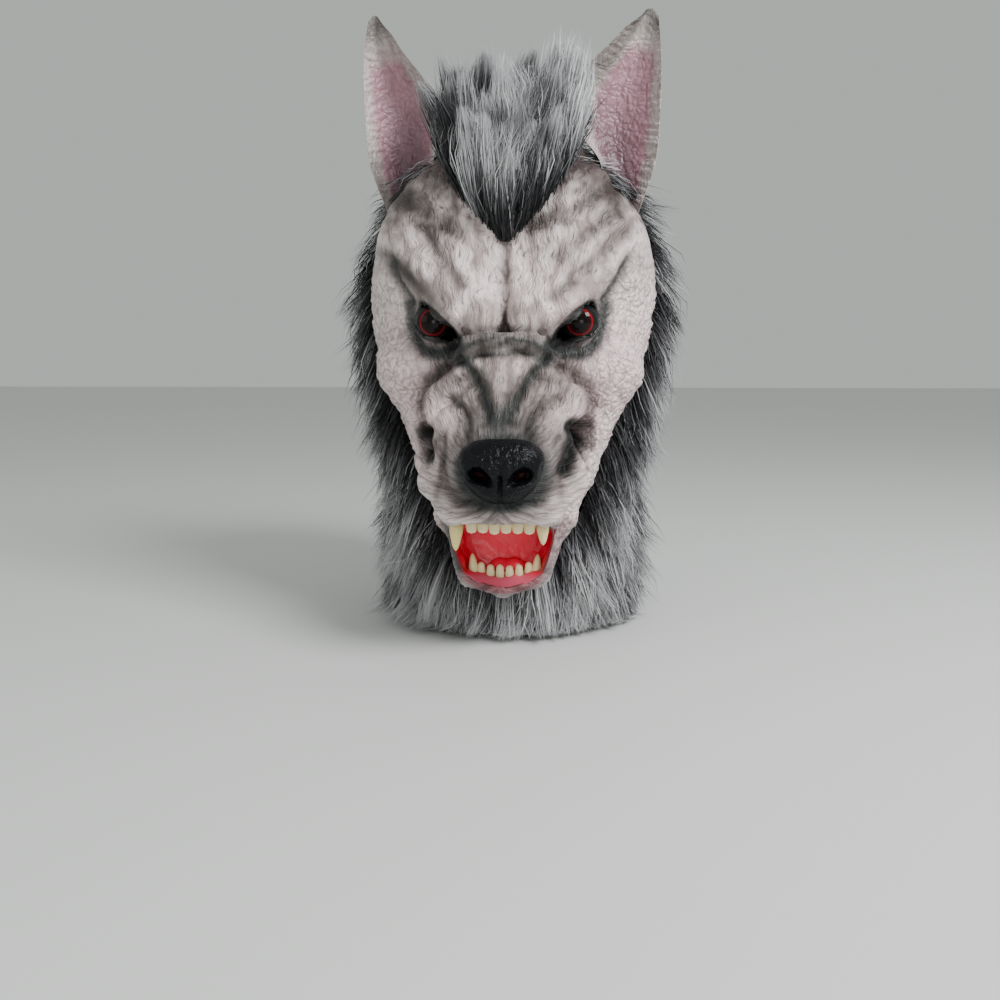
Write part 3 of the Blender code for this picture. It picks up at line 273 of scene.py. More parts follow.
# Fur. The rim is the angle from the front where the latex ends, by share of
# the height. The width is the tuft's half base, by level on the face.
# part, strands, side, first and last angle
HOOD_PARTS = [
    ("fur_left", 34000, -1, 0, 128),
    ("fur_right", 34000, 1, 0, 128),
    ("fur_back_left", 17000, -1, 128, 180),
    ("fur_back_right", 17000, 1, 128, 180),
]
FUR_RIM = [(0.00, 0), (0.14, 0), (0.17, 30), (0.20, 44), (0.26, 54), (0.34, 62), (0.44, 72),
           (0.54, 80), (0.64, 86), (0.74, 92), (0.83, 96), (0.87, 72), (0.895, 36), (0.915, 0),
           (1.00, 0)]
FORELOCK_WIDTH = [(0.840, 0.00), (0.850, 0.06), (0.870, 0.20), (0.892, 0.33), (0.920, 0.44),
                  (0.945, 0.54), (0.965, 0.62), (1.0, 0.76)]
FORELOCK_STRANDS, FORELOCK_CLUMPS = 30000, 120
CLUMP_SPREAD = np.array([0.18, 0.16, 0.08])
STRAND_STEPS = np.array([0.0, 0.30, 0.66, 1.0])
STRAND_WIDTHS = np.array([1.0, 0.95, 0.70, 0.0])
HOOD_STRAND_LENGTH = 0.042
TUFT_LENGTH, TUFT_CROWN_EXTRA, TALL_TUFT_EXTRA = 0.056, 0.006, 0.030
STRANDS_PER_CLUMP = 26
DOME_START = 0.645
CLOTH_WALL = 0.0026
BACKING_WALL = 0.0010
FLOOR_GAP = 0.003
DOWN = np.array([0.0, 0.0, -1.0])
BACK = np.array([0.0, 1.0, 0.0])

# Paints
LATEX_PALE = np.array([0.86, 0.735, 0.725])
LATEX_PINK = np.array([0.83, 0.590, 0.630])
# Brown and green are airbrush; black is painted shade in the mouth corner holes, pale a painted
# sheen on the root fold.
PAINT_TONES = {"brown": np.array([0.066, 0.050, 0.046]), "green": np.array([0.020, 0.026, 0.025]),
               "black": np.array([0.004, 0.003, 0.003]), "pale": np.array([0.42, 0.37, 0.36])}
LIP_WEB_RED = np.array([0.20, 0.075, 0.095])
LIP_GUM_RED = np.array([0.25, 0.028, 0.048])
NOSE_BLACK = np.array([0.0035, 0.0038, 0.0052])
NOSTRIL_RED = np.array([0.028, 0.003, 0.003])
PUPIL_BLACK = np.array([0.005, 0.003, 0.003])
EYE_GLOW = np.array([0.05, 0.006, 0.004])
EYE_RING_RED = np.array([0.20, 0.006, 0.010])
EYE_EDGE_BLACK = np.array([0.008, 0.009, 0.009])
# Lit and shaded copies of the mouth red: painted light and shade.
MOUTH_LIT_RED = np.array([0.78, 0.010, 0.045])
MOUTH_SHADED_RED = np.array([0.58, 0.006, 0.030])
PALATE_PINK = np.array([0.82, 0.09, 0.12])
GUM_PINK = np.array([0.50, 0.085, 0.130])
MOUTH_RIM_DARK = np.array([0.060, 0.020, 0.024])
TONGUE_RED = np.array([0.80, 0.020, 0.060])
TOOTH_WHITE = np.array([0.80, 0.68, 0.40])
TOOTH_YELLOW = np.array([0.78, 0.66, 0.26])
GUM_STAIN = np.array([0.42, 0.27, 0.12])
EAR_PINK = np.array([0.43, 0.235, 0.285])
# Painted shade of the ear's cup: its pink made darker.
EAR_CUP_SHADE = np.array([0.090, 0.045, 0.060])
EAR_GREY = np.array([0.54, 0.48, 0.465])
EAR_FOLD_GREY = np.array([0.15, 0.13, 0.12])
EAR_TIP_GREY = np.array([0.115, 0.105, 0.100])
EAR_BACK_GREY = np.array([0.13, 0.135, 0.125])
FUR_BLACK = np.array([0.010, 0.010, 0.012])
FUR_CHARCOAL = np.array([0.050, 0.050, 0.056])
FUR_SILVER = np.array([0.52, 0.52, 0.535])

# Lights: name, place, power, size. The camera is the photograph's.
LIGHTS = [
    ("key", (0.80, -0.70, 1.05), 24.0, 0.50),
    ("fill", (-1.2, -0.9, 0.6), 3.0, 1.0),
    ("low front", (0.15, -1.40, 0.16), 3.0, 0.5),
]
LIGHT_TARGET = Vector((0, -0.02, 0.20))
CAMERA_AZIMUTH = math.radians(4.0)
CAMERA_PITCH = math.radians(8.0)
CAMERA_AWAY = 0.72


def smooth_min(first, second, blend):
    """Lower of two distances, with a parabola over the join."""
    overlap = np.maximum(blend - np.abs(first - second), 0.0) / blend
    return np.minimum(first, second) - overlap * overlap * blend * 0.25


def smooth_max(first, second, blend):
    """Higher of two distances, with a parabola over the join."""
    return -smooth_min(-first, -second, blend)


def soft(value, low, high):
    """Smooth step from nought at low to one at high."""
    part = np.clip((value - low) / (high - low), 0, 1)
    return part * part * (3 - 2 * part)


def unit(vectors):
    """Vectors of length one."""
    return vectors / np.maximum(np.linalg.norm(vectors, axis=-1, keepdims=True), 1e-9)


def tinted(colour, tone, share):
    """Colour where the share is nought, tone where it is one."""
    share = np.asarray(share)[..., None]
    return colour * (1 - share) + tone * share


def turned(yaw, pitch, roll):
    """Turn about z, then x, then y, from angles in degrees."""
    about_z = Matrix.Rotation(math.radians(yaw), 3, "Z")
    about_x = Matrix.Rotation(math.radians(pitch), 3, "X")
    about_y = Matrix.Rotation(math.radians(roll), 3, "Y")
    return np.array(about_z @ about_x @ about_y)


def round_distance(points, centre, radii, angles):
    """Length of the point over the radii, times that length less one, over the slope."""
    local = (points - centre) @ turned(*angles)
    scaled = np.linalg.norm(local / radii, axis=-1)
    slope = np.linalg.norm(local / (radii * radii), axis=-1)
    return scaled * (scaled - 1.0) / np.maximum(slope, 1e-6)


def roll_distance(points, start, end, start_radius, end_radius):
    """Distance to the nearest point of a segment, less a radius that changes along it."""
    along = end - start
    share = np.clip((points - start) @ along / (along @ along), 0.0, 1.0)
    away = np.linalg.norm(points - (start + share[..., None] * along), axis=-1)
    return away - start_radius - (end_radius - start_radius) * share


def place(across, forward, up):
    """Point from shares of the face half width, nose reach and crown."""
    return np.array([across * FACE_HALF_WIDTH, -forward * NOSE_REACH, up * CROWN_HEIGHT])


def head_distance(points):
    """Ellipsoid of the skull joined to an upright oval neck."""
    centre = np.array([0.0, HEAD_SET_BACK, HEAD_CENTRE_HEIGHT])
    radii = np.array([HEAD_HALF_WIDTH, HEAD_HALF_DEPTH, CROWN_HEIGHT - HEAD_CENTRE_HEIGHT])
    skull = round_distance(points, centre, radii, (0, 0, 0))
    across = points[..., 0] / NECK_HALF_WIDTH
    along = (points[..., 1] - NECK_SET_BACK) / NECK_HALF_DEPTH
    neck = (np.sqrt(across * across + along * along) - 1.0) * NECK_HALF_DEPTH
    neck = smooth_max(neck, points[..., 2] - NECK_SHARE * HEAD_CENTRE_HEIGHT, NECK_TOP_BLEND)
    return smooth_min(skull, neck, NECK_BLEND)


def stage_distances(points, stage):
    """Distance and blend of each mass and roll of one stage."""
    for row in ROUND_MASSES:
        if row[1] == stage:
            radii = np.array(row[5:8]) * FACE_HALF_WIDTH
            distance = round_distance(points, place(*row[2:5]), radii, row[8:11])
            yield distance, row[11] * FACE_HALF_WIDTH
    for row in SKIN_ROLLS:
        if row[1] == stage:
            radius = (row[8] * FACE_HALF_WIDTH, row[9] * FACE_HALF_WIDTH)
            distance = roll_distance(points, place(*row[2:5]), place(*row[5:8]), *radius)
            yield distance, row[10] * FACE_HALF_WIDTH


def face_distance(points):
    """Skull masses and muzzle masses joined softly, then folds added and hollows cut."""
    points = points * np.ones(3)
    points[..., 0] = np.abs(points[..., 0])
    total = head_distance(points) - LATEX_ABOVE_HEAD
    for distance, blend in stage_distances(points, "skull"):
        total = smooth_min(total, distance, blend)
    muzzle = np.full(points.shape[:-1], 1.0)
    for distance, blend in stage_distances(points, "muzzle"):
        muzzle = smooth_min(muzzle, distance, blend)
    total = smooth_min(total, muzzle, MUZZLE_BLEND * FACE_HALF_WIDTH)
    for distance, blend in stage_distances(points, "fold"):
        total = smooth_min(total, distance, blend)
    for distance, blend in stage_distances(points, "cut"):
        total = smooth_max(total, -distance, blend)
    return total


def outer_distance(points):
    """Face or hood, whichever is further out."""
    return np.minimum(face_distance(points), head_distance(points) - LATEX_ABOVE_HEAD)


def along_rows(share, table, column):
    """Cubic curve through one column of a table whose first column is the share."""
    shares = np.array([row[0] for row in table], dtype=float)
    values = np.array([row[column] for row in table], dtype=float)
    slopes = np.gradient(values, shares)
    index = np.clip(np.searchsorted(shares, share) - 1, 0, len(shares) - 2)
    step = shares[index + 1] - shares[index]
    part = (share - shares[index]) / step
    square = part * part
    cube = square * part
    low = (2 * cube - 3 * square + 1) * values[index]
    low = low + (cube - 2 * square + part) * step * slopes[index]
    high = (3 * square - 2 * cube) * values[index + 1]
    return low + (high + (cube - square) * step * slopes[index + 1])


def between_rows(value, table):
    """Straight stretches through the second column of a table whose first column is the value."""
    return np.interp(value, [row[0] for row in table], [row[1] for row in table])


def rays(start_forward, height, angle, rise):
    """Rays from an upright line, by start height, angle from the front and rise."""
    starts = np.stack([0 * angle, start_forward + 0 * angle, height + 0 * angle], -1)
    across = np.sin(angle) * np.cos(rise)
    forward = -np.cos(angle) * np.cos(rise)
    return starts, np.stack([across, forward, np.sin(rise) + 0 * angle], -1)


def face_rays(side, level, rim=1.0):
    """Rays from inside the head: angle a cubic in the side, height and rise from the table."""
    height = along_rows(level, FACE_LEVELS, 1) * CROWN_HEIGHT
    rise = np.radians(along_rows(level, FACE_LEVELS, 2))
    angle = np.radians(along_rows(level, FACE_LEVELS, 3)) * (0.62 * side + 0.38 * side ** 3) * rim
    return rays(-SPINE_REACH, height, angle, rise)


def ray_reach(distance, starts, directions, level=0.0, first=0.22, steps=60):
    """Steps in from outside by four fifths of the distance until the form is met."""
    reach = np.zeros(starts.shape[:-1]) + first
    for _ in range(steps):
        gap = distance(starts + directions * reach[..., None]) - level
        reach = np.maximum(reach - np.where(gap > NEAR_ENOUGH, gap * 0.8, 0.0), LEAST_REACH)
    return reach


def ray_points(starts, directions, reach):
    """Start plus the reach times the direction."""
    return starts + directions * reach[..., None]


def surface_normals(distance, points, step=0.0012):
    """Slope of the distance, by differences along each axis."""
    offsets = np.eye(3) * step
    slope = [distance(points + offset) - distance(points - offset) for offset in offsets]
    return unit(np.stack(slope, -1))


def value_noise(places, seed):
    """Smooth noise from minus one to one: random corner values of a cube grid, cubic between."""
    cell = np.floor(places).astype(np.int64)
    part = places - cell
    part = part * part * (3 - 2 * part)
    total = np.zeros(places.shape[:-1])
    for corner in range(8):
        bits = np.array([corner & 1, (corner >> 1) & 1, (corner >> 2) & 1])
        key = (cell + bits) @ np.array([73856093, 19349663, 83492791]) + seed * 2654435761
        key = (key ^ (key >> 13)) * 1274126177
        key = key ^ (key >> 16)
        value = (key & 0xFFFF) / 32767.5 - 1.0
        total = total + value * np.prod(np.where(bits, part, 1 - part), axis=-1)
    return total


def noise_at(seed, first, second, third=0.0):
    """Smooth noise at places given by their parts."""
    return value_noise(np.stack([first, second, third + 0 * first], -1), seed)


def on_sheet(points):
    """Across and height in millimetres where the painter's line of sight meets the sheet."""
    share = (SHEET_FORWARD + PAINTER[1]) / (PAINTER[1] - points[..., 1])
    across = points[..., 0] * share
    height = PAINTER[2] + (points[..., 2] - PAINTER[2]) * share
    return across * 1000, height * 1000


def path_distance(across, height, bends):
    """Least distance to a chain of straight stretches along a cubic curve through the bends."""
    bends = np.array(bends, dtype=float)
    steps = np.linspace(0, len(bends) - 1, STEPS_PER_BEND * (len(bends) - 1) + 1)
    rows = np.column_stack([np.arange(len(bends)), bends])
    curve = np.stack([along_rows(steps, rows, column) for column in (1, 2)], -1)
    nearest = np.full(across.shape, 1e9)
    for start, end in zip(curve[:-1], curve[1:]):
        along = end - start
        part = (across - start[0]) * along[0] + (height - start[1]) * along[1]
        share = np.clip(part / (along @ along), 0, 1)
        away = np.hypot(across - start[0] - share * along[0], height - start[1] - share * along[1])
        nearest = np.minimum(nearest, away)
    return nearest


def ball_grid(rows, columns, pole=0.0):
    """Tilt from the front pole, and unit ball from cosines and sines of tilt and turn."""
    turns = np.linspace(0, 2 * np.pi, columns, endpoint=False)
    tilt, around = np.meshgrid(np.linspace(pole, np.pi - pole, rows), turns, indexing="ij")
    ball = [np.cos(around) * np.sin(tilt), -np.cos(tilt), np.sin(around) * np.sin(tilt)]
    return tilt, np.stack(ball, -1)


# Meshes

def piece(name, points, faces, material, smooth=True, shift=True):
    """Mesh object in place from points and faces, both whole arrays."""
    points = np.asarray(points, dtype=float).reshape(-1, 3)
    if shift:
        points = points + np.array([0, FRAME_SHIFT, 0])
    mesh = bpy.data.meshes.new(name)
    mesh.from_pydata(points.tolist(), [], [list(map(int, face)) for face in faces])
    mesh.materials.append(material)
    if smooth:
        mesh.shade_smooth()
    thing = bpy.data.objects.new(name, mesh)
    bpy.context.scene.collection.objects.link(thing)
    return thing


def grid_faces(rows, columns, wrap=False, keep=None):
    """Four-sided faces of a grid of points, less the cells that are left open."""
    index = np.arange(rows * columns).reshape(rows, columns)
    if wrap:
        index = np.concatenate([index, index[:, :1]], axis=1)
    faces = np.stack([index[:-1, :-1], index[:-1, 1:], index[1:, 1:], index[1:, :-1]], -1)
    if keep is not None:
        faces = faces[keep]
    return faces.reshape(-1, 4)


def tube_faces(rows, columns, start=0, first_cap=True):
    """Faces round a tube of rings, with a cap on its last ring and one on its first."""
    faces = list(grid_faces(rows, columns, wrap=True) + start)
    if first_cap:
        faces.append(list(range(start, start + columns))[::-1])
    faces.append(list(range(start + (rows - 1) * columns, start + rows * columns)))
    return faces


def set_colours(thing, colours):
    """Colour per point, kept with the mesh, solid where no fourth value is given."""
    colours = np.asarray(colours).reshape(len(thing.data.vertices), -1)
    if colours.shape[1] == 3:
        colours = np.concatenate([colours, np.ones((len(colours), 1))], -1)
    layer = thing.data.color_attributes.new("paint", "FLOAT_COLOR", "POINT")
    layer.data.foreach_set("color", colours.astype(np.float32).ravel())


def set_flow(thing, flow):
    """UV map from a pair of values per point."""
    layer = thing.data.uv_layers.new(name="flow")
    corners = np.zeros(len(thing.data.loops), dtype=np.int32)
    thing.data.loops.foreach_get("vertex_index", corners)
    layer.data.foreach_set("uv", flow[corners].astype(np.float32).ravel())


def wall(thing, thickness):
    """Wall of even thickness behind a surface."""
    step = thing.modifiers.new("wall", "SOLIDIFY")
    step.thickness = thickness
    step.offset = -1
    step.use_even_offset = False


def mend(thing, merge=False, trim=False):
    """Faces turned out, with doubles merged first where asked. A trimmed sheet only loses the
    points that an opening left without a face."""
    work = bmesh.new()
    work.from_mesh(thing.data)
    if trim:
        loose = [point for point in work.verts if not point.link_faces]
        bmesh.ops.delete(work, geom=loose, context="VERTS")
    else:
        if merge:
            bmesh.ops.remove_doubles(work, verts=work.verts, dist=1e-7)
        bmesh.ops.recalc_face_normals(work, faces=work.faces)
    work.to_mesh(thing.data)
    work.free()


def ready(thing, slot_name, *nodes):
    """Piece handed to the frame in place of the CAD nodes."""
    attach(thing, "root")
    if nodes:
        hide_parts(*nodes)
    return thing


# Materials

def socket(group, name, direction, kind, value=None):
    """Named input or output of a node group."""
    made = group.interface.new_socket(name=name, in_out=direction, socket_type="NodeSocket" + kind)
    if value is not None:
        made.default_value = value


def set_inputs(node, values):
    """Plain values of named inputs."""
    for name, value in values.items():
        node.inputs[name].default_value = value


def math_node(tree, operation, first, second):
    """Sum, product or other simple step between two links or numbers."""
    step = tree.nodes.new("ShaderNodeMath")
    step.operation = operation
    for place_in, value in zip(step.inputs, (first, second)):
        if isinstance(value, float):
            place_in.default_value = value
        else:
            tree.links.new(value, place_in)
    return step.outputs[0]


def vector_node(tree, operation, first, second):
    """Product or sum of two vectors, the second one a link or three numbers."""
    step = tree.nodes.new("ShaderNodeVectorMath")
    step.operation = operation
    tree.links.new(first, step.inputs[0])
    if isinstance(second, tuple):
        step.inputs[1].default_value = second
    else:
        tree.links.new(second, step.inputs[1])
    return step.outputs[0]


def noise_node(tree, vector, scale, detail, output="Fac", roughness=0.6):
    """Noise texture on a vector."""
    noise = tree.nodes.new("ShaderNodeTexNoise")
    set_inputs(noise, {"Scale": scale, "Detail": detail, "Roughness": roughness})
    tree.links.new(vector, noise.inputs["Vector"])
    return noise.outputs[output]


def cell_node(tree, vector, scale):
    """Distance to the middle of the nearest cell of a cell texture."""
    cells = tree.nodes.new("ShaderNodeTexVoronoi")
    cells.inputs["Scale"].default_value = scale
    tree.links.new(vector, cells.inputs["Vector"])
    return cells.outputs["Distance"]


def ramp_node(tree, value, low, high):
    """Share from nought at the first number to one at the second."""
    ramp = tree.nodes.new("ShaderNodeMapRange")
    set_inputs(ramp, {"From Min": low, "From Max": high})
    tree.links.new(value, ramp.inputs["Value"])
    return ramp.outputs["Result"]


def mix_node(tree, share, first, second):
    """First value where the share is nought, second where it is one."""
    mixed = tree.nodes.new("ShaderNodeMix")
    for name, value in (("Factor", share), ("A", first), ("B", second)):
        tree.links.new(value, mixed.inputs[name])
    return mixed.outputs["Result"]


def difference_node(tree, first, first_share, second, second_share):
    """Share of one value less a share of another."""
    return math_node(tree, "SUBTRACT", math_node(tree, "MULTIPLY", first, first_share),
                     math_node(tree, "MULTIPLY", second, second_share))


def sculpted_strokes_group():
    """Strokes along the flow map gathered in tufts, pebbles where asked, and a grain of pores."""
    group = bpy.data.node_groups.new("sculpted strokes", "ShaderNodeTree")
    for name, kind, value in (("Flow", "Vector", None), ("Place", "Vector", None),
                              ("Along", "Float", 140.0), ("Across", "Float", 1000.0),
                              ("Pebbles", "Float", 0.0)):
        socket(group, name, "INPUT", kind, value)
    socket(group, "Height", "OUTPUT", "Float")
    socket(group, "Wash", "OUTPUT", "Float")
    enter = group.nodes.new("NodeGroupInput")
    leave = group.nodes.new("NodeGroupOutput")
    where = enter.outputs["Place"]
    scale = group.nodes.new("ShaderNodeCombineXYZ")
    group.links.new(enter.outputs["Across"], scale.inputs[0])
    group.links.new(enter.outputs["Along"], scale.inputs[1])
    stretched = vector_node(group, "MULTIPLY", enter.outputs["Flow"], scale.outputs[0])
    bend = noise_node(group, where, 95.0, 1.0, "Color")
    stroke_bend = vector_node(group, "MULTIPLY", bend, (5.0, 1.2, 0.0))
    bent = vector_node(group, "ADD", stretched, stroke_bend)
    strokes = noise_node(group, bent, 1.0, 2.5)
    tufts = cell_node(group, vector_node(group, "MULTIPLY", bent, (0.26, 0.50, 1.0)), 1.0)
    pebble_bend = vector_node(group, "MULTIPLY", bend, (0.01, 0.01, 0.01))
    pebbles = cell_node(group, vector_node(group, "ADD", where, pebble_bend), 300.0)
    grain = noise_node(group, where, 900.0, 3.0)
    stroke_height = difference_node(group, strokes, 1.2, tufts, 0.75)
    pebble_height = difference_node(group, strokes, 0.6, pebbles, 1.1)
    relief = mix_node(group, enter.outputs["Pebbles"], stroke_height, pebble_height)
    pores = math_node(group, "MULTIPLY", grain, 0.18)
    group.links.new(math_node(group, "ADD", relief, pores), leave.inputs["Height"])
    lines = ramp_node(group, strokes, 0.47, 0.31)
    edges = math_node(group, "MULTIPLY", ramp_node(group, tufts, 0.42, 0.80), 0.75)
    pits = math_node(group, "MULTIPLY", ramp_node(group, pebbles, 0.40, 0.75), 0.55)
    stroke_wash = math_node(group, "MAXIMUM", lines, edges)
    group.links.new(mix_node(group, enter.outputs["Pebbles"], stroke_wash, pits),
                    leave.inputs["Wash"])
    return group


def principled(name):
    """Material with its node tree and its shader."""
    material = bpy.data.materials.new(name)
    material.use_nodes = True
    return material, material.node_tree, material.node_tree.nodes["Principled BSDF"]


def paint_node(tree):
    """Colours kept with the mesh."""
    paint = tree.nodes.new("ShaderNodeVertexColor")
    paint.layer_name = "paint"
    return paint


def object_place(tree):
    """Place on the object."""
    return tree.nodes.new("ShaderNodeTexCoord").outputs["Object"]


def relief_on(tree, shader, height, depth):
    """Bumps of the given depth."""
    bump = tree.nodes.new("ShaderNodeBump")
    set_inputs(bump, {"Strength": 1.0, "Distance": depth})
    tree.links.new(height, bump.inputs["Height"])
    tree.links.new(bump.outputs["Normal"], shader.inputs["Normal"])


def painted_latex(name, along, across, depth, wash, wash_colour):
    """Airbrushed colours from the mesh, a dark wash in the strokes and a stroked surface."""
    material, tree, shader = principled(name)
    paint = paint_node(tree)
    flow = tree.nodes.new("ShaderNodeUVMap")
    flow.uv_map = "flow"
    relief = tree.nodes.new("ShaderNodeGroup")
    relief.node_tree = strokes_group
    set_inputs(relief, {"Along": along, "Across": across})
    tree.links.new(flow.outputs["UV"], relief.inputs["Flow"])
    tree.links.new(object_place(tree), relief.inputs["Place"])
    tree.links.new(paint.outputs["Alpha"], relief.inputs["Pebbles"])
    mixed = tree.nodes.new("ShaderNodeMix")
    mixed.data_type = "RGBA"
    mixed.blend_type = "MULTIPLY"
    mixed.inputs["B"].default_value = (*wash_colour, 1.0)
    amount = math_node(tree, "MULTIPLY", relief.outputs["Wash"], wash)
    tree.links.new(amount, mixed.inputs["Factor"])
    tree.links.new(paint.outputs["Color"], mixed.inputs["A"])
    tree.links.new(mixed.outputs["Result"], shader.inputs["Base Color"])
    relief_on(tree, shader, relief.outputs["Height"], depth)
    set_inputs(shader, {"Roughness": 0.42, "Subsurface Weight": 0.06,
                        "Subsurface Radius": (0.004, 0.002, 0.0015)})
    return material


def painted(name, roughness, coat, shine, grain=None):
    """Colour kept with the mesh, and an uneven surface where its scale and depth are given."""
    material, tree, shader = principled(name)
    tree.links.new(paint_node(tree).outputs["Color"], shader.inputs["Base Color"])
    set_inputs(shader, {"Roughness": roughness, "Coat Weight": coat, "Specular IOR Level": shine})
    if grain:
        scale, depth = grain
        height = noise_node(tree, object_place(tree), scale, 3.0, roughness=0.5)
        relief_on(tree, shader, height, depth)
    return material


def matt(name, colour, roughness):
    """One colour with a dull surface."""
    material, _, shader = principled(name)
    set_inputs(shader, {"Base Color": (*colour, 1.0), "Roughness": roughness})
    return material


strokes_group = sculpted_strokes_group()
latex = painted_latex("airbrushed latex", 130.0, 900.0, 0.0019, 0.92, (0.22, 0.175, 0.165))
ear_latex = painted_latex("ear latex", 70.0, 420.0, 0.0009, 0.60, (0.40, 0.31, 0.31))
nose_black = painted("black nose paint", 0.18, 0.0, 0.14, (420.0, 0.0013))
eye_paint = painted("glossy eye", 0.04, 0.0, 0.16)
mouth_red = painted("wet red mouth", 0.20, 0.05, 0.28, (260.0, 0.0005))
tooth_cream = painted("cream teeth", 0.30, 0.2, 0.5, (300.0, 0.0002))
fur = painted("silver tipped fur", 0.55, 0.0, 0.35)
undercoat = matt("black undercoat", (0.012, 0.012, 0.013), 0.9)


# Face

def mouth_half_width(up):
    """Half width of the mouth from its bottom, at minus one, to its top, at one."""
    return MOUTH_BOTTOM_HALF + (MOUTH_TOP_HALF - MOUTH_BOTTOM_HALF) * (0.5 + 0.5 * up)


def mouth_inside(points):
    """Rounded outline of the mouth: below one inside, above one outside."""
    up = (points[..., 2] - MOUTH_MIDDLE) / MOUTH_HALF_HEIGHT
    share = np.abs(points[..., 0]) / mouth_half_width(np.clip(up, -1, 1))
    value = share ** MOUTH_SQUARENESS + np.abs(up) ** MOUTH_SQUARENESS
    return np.where(points[..., 1] < MOUTH_CUT_BACK, value, FAR_OUTSIDE)


def brow_frame(across, height):
    """Place along the brow's slant, height above it, and the height of the brow edge."""
    out, rise = np.abs(across) - 45.0, height - 207.5
    along = out * BROW_COSINE + rise * BROW_SINE
    up = -out * BROW_SINE + rise * BROW_COSINE
    return along, up, 6.6 - 0.0030 * (along - 6) ** 2


def eye_inside(across, height):
    """Almond from the slanting brow edge to a curved lower lid, a value below one inside."""
    along, up, top = brow_frame(across, height)
    share = (along + 1.5) / EYE_HALF_LENGTH
    bottom = -8.6 * np.sqrt(np.clip(1 - share ** 2, 0, 1)) + 0.8
    middle = 0.5 * (top + bottom)
    half = np.maximum(0.5 * (top - bottom), 0.2)
    return (np.abs(up - middle) / half) ** 2 + share ** 6


def eye_centre(sign):
    """Middle of an eye ball, a little above and inside the solid one."""
    return np.array([sign * (EYE_ACROSS - 0.0015), -EYE_FORWARD + 0.0025, EYE_HEIGHT + 0.0040])


def eyelid_reach(starts, directions, spare):
    """Far meeting point of each ray with a ball larger than the eye by the spare, or nought."""
    far = np.zeros(starts.shape[:-1])
    squared = (EYE_VISIBLE_RADIUS + spare) ** 2
    for sign in (-1, 1):
        offset = starts - eye_centre(sign)
        along = -(offset * directions).sum(-1)
        beside = (offset * offset).sum(-1) - along ** 2
        meeting = along + np.sqrt(np.maximum(squared - beside, 0))
        far = np.maximum(far, np.where(beside < squared, meeting, 0))
    return far


def first_reach(side, level):
    """Start for the fine rays: the furthest of nine neighbours on a coarse grid, and 6 mm."""
    last = COARSE_ROWS - 1
    grid = np.meshgrid(np.linspace(-1, 1, COARSE_ROWS), np.linspace(0, 1, COARSE_ROWS))
    padded = np.pad(ray_reach(face_distance, *face_rays(*grid)), 1, mode="edge")
    nearby = [padded[row:row + COARSE_ROWS, column:column + COARSE_ROWS]
              for row in range(3) for column in range(3)]
    row = np.clip(np.round(level * last).astype(int), 0, last)
    column = np.clip(np.round((side + 1) * (0.5 * last)).astype(int), 0, last)
    return np.max(nearby, axis=0)[row, column] + 0.006


def drawn_folds(across, height):
    """Depth of the grooves and paint of each tone (airbrush, painted shade in black, painted sheen
    in pale), bell curves across the drawn lines.
    """
    wobble = 1.3 * noise_at(5, across * 0.12, height * 0.12)
    depth = np.zeros(across.shape)
    paint = {tone: np.zeros(across.shape) for tone in PAINT_TONES}
    sides = {"both": np.abs(across), "right": across, "left": -across}
    for _, side, bends, groove_width, groove_depth, paint_width, strength, tone in FACE_FOLDS:
        # The black tone, painted shade of deep holes, has a harder edge.
        hard = tone == "black"
        shake = wobble * (np.abs(across) > 4) * (0.2 if hard else 1.0)
        shaken_height = height + 0.3 * shake + 0.7 * wobble * (not hard)
        away = path_distance(sides[side] + shake, shaken_height, bends)
        depth += groove_depth * np.exp(-(away / groove_width) ** 2)
        layer = strength * np.exp(-(away / paint_width) ** (4 if hard else 2))
        paint[tone] = 1 - (1 - paint[tone]) * (1 - layer)
    return depth, paint


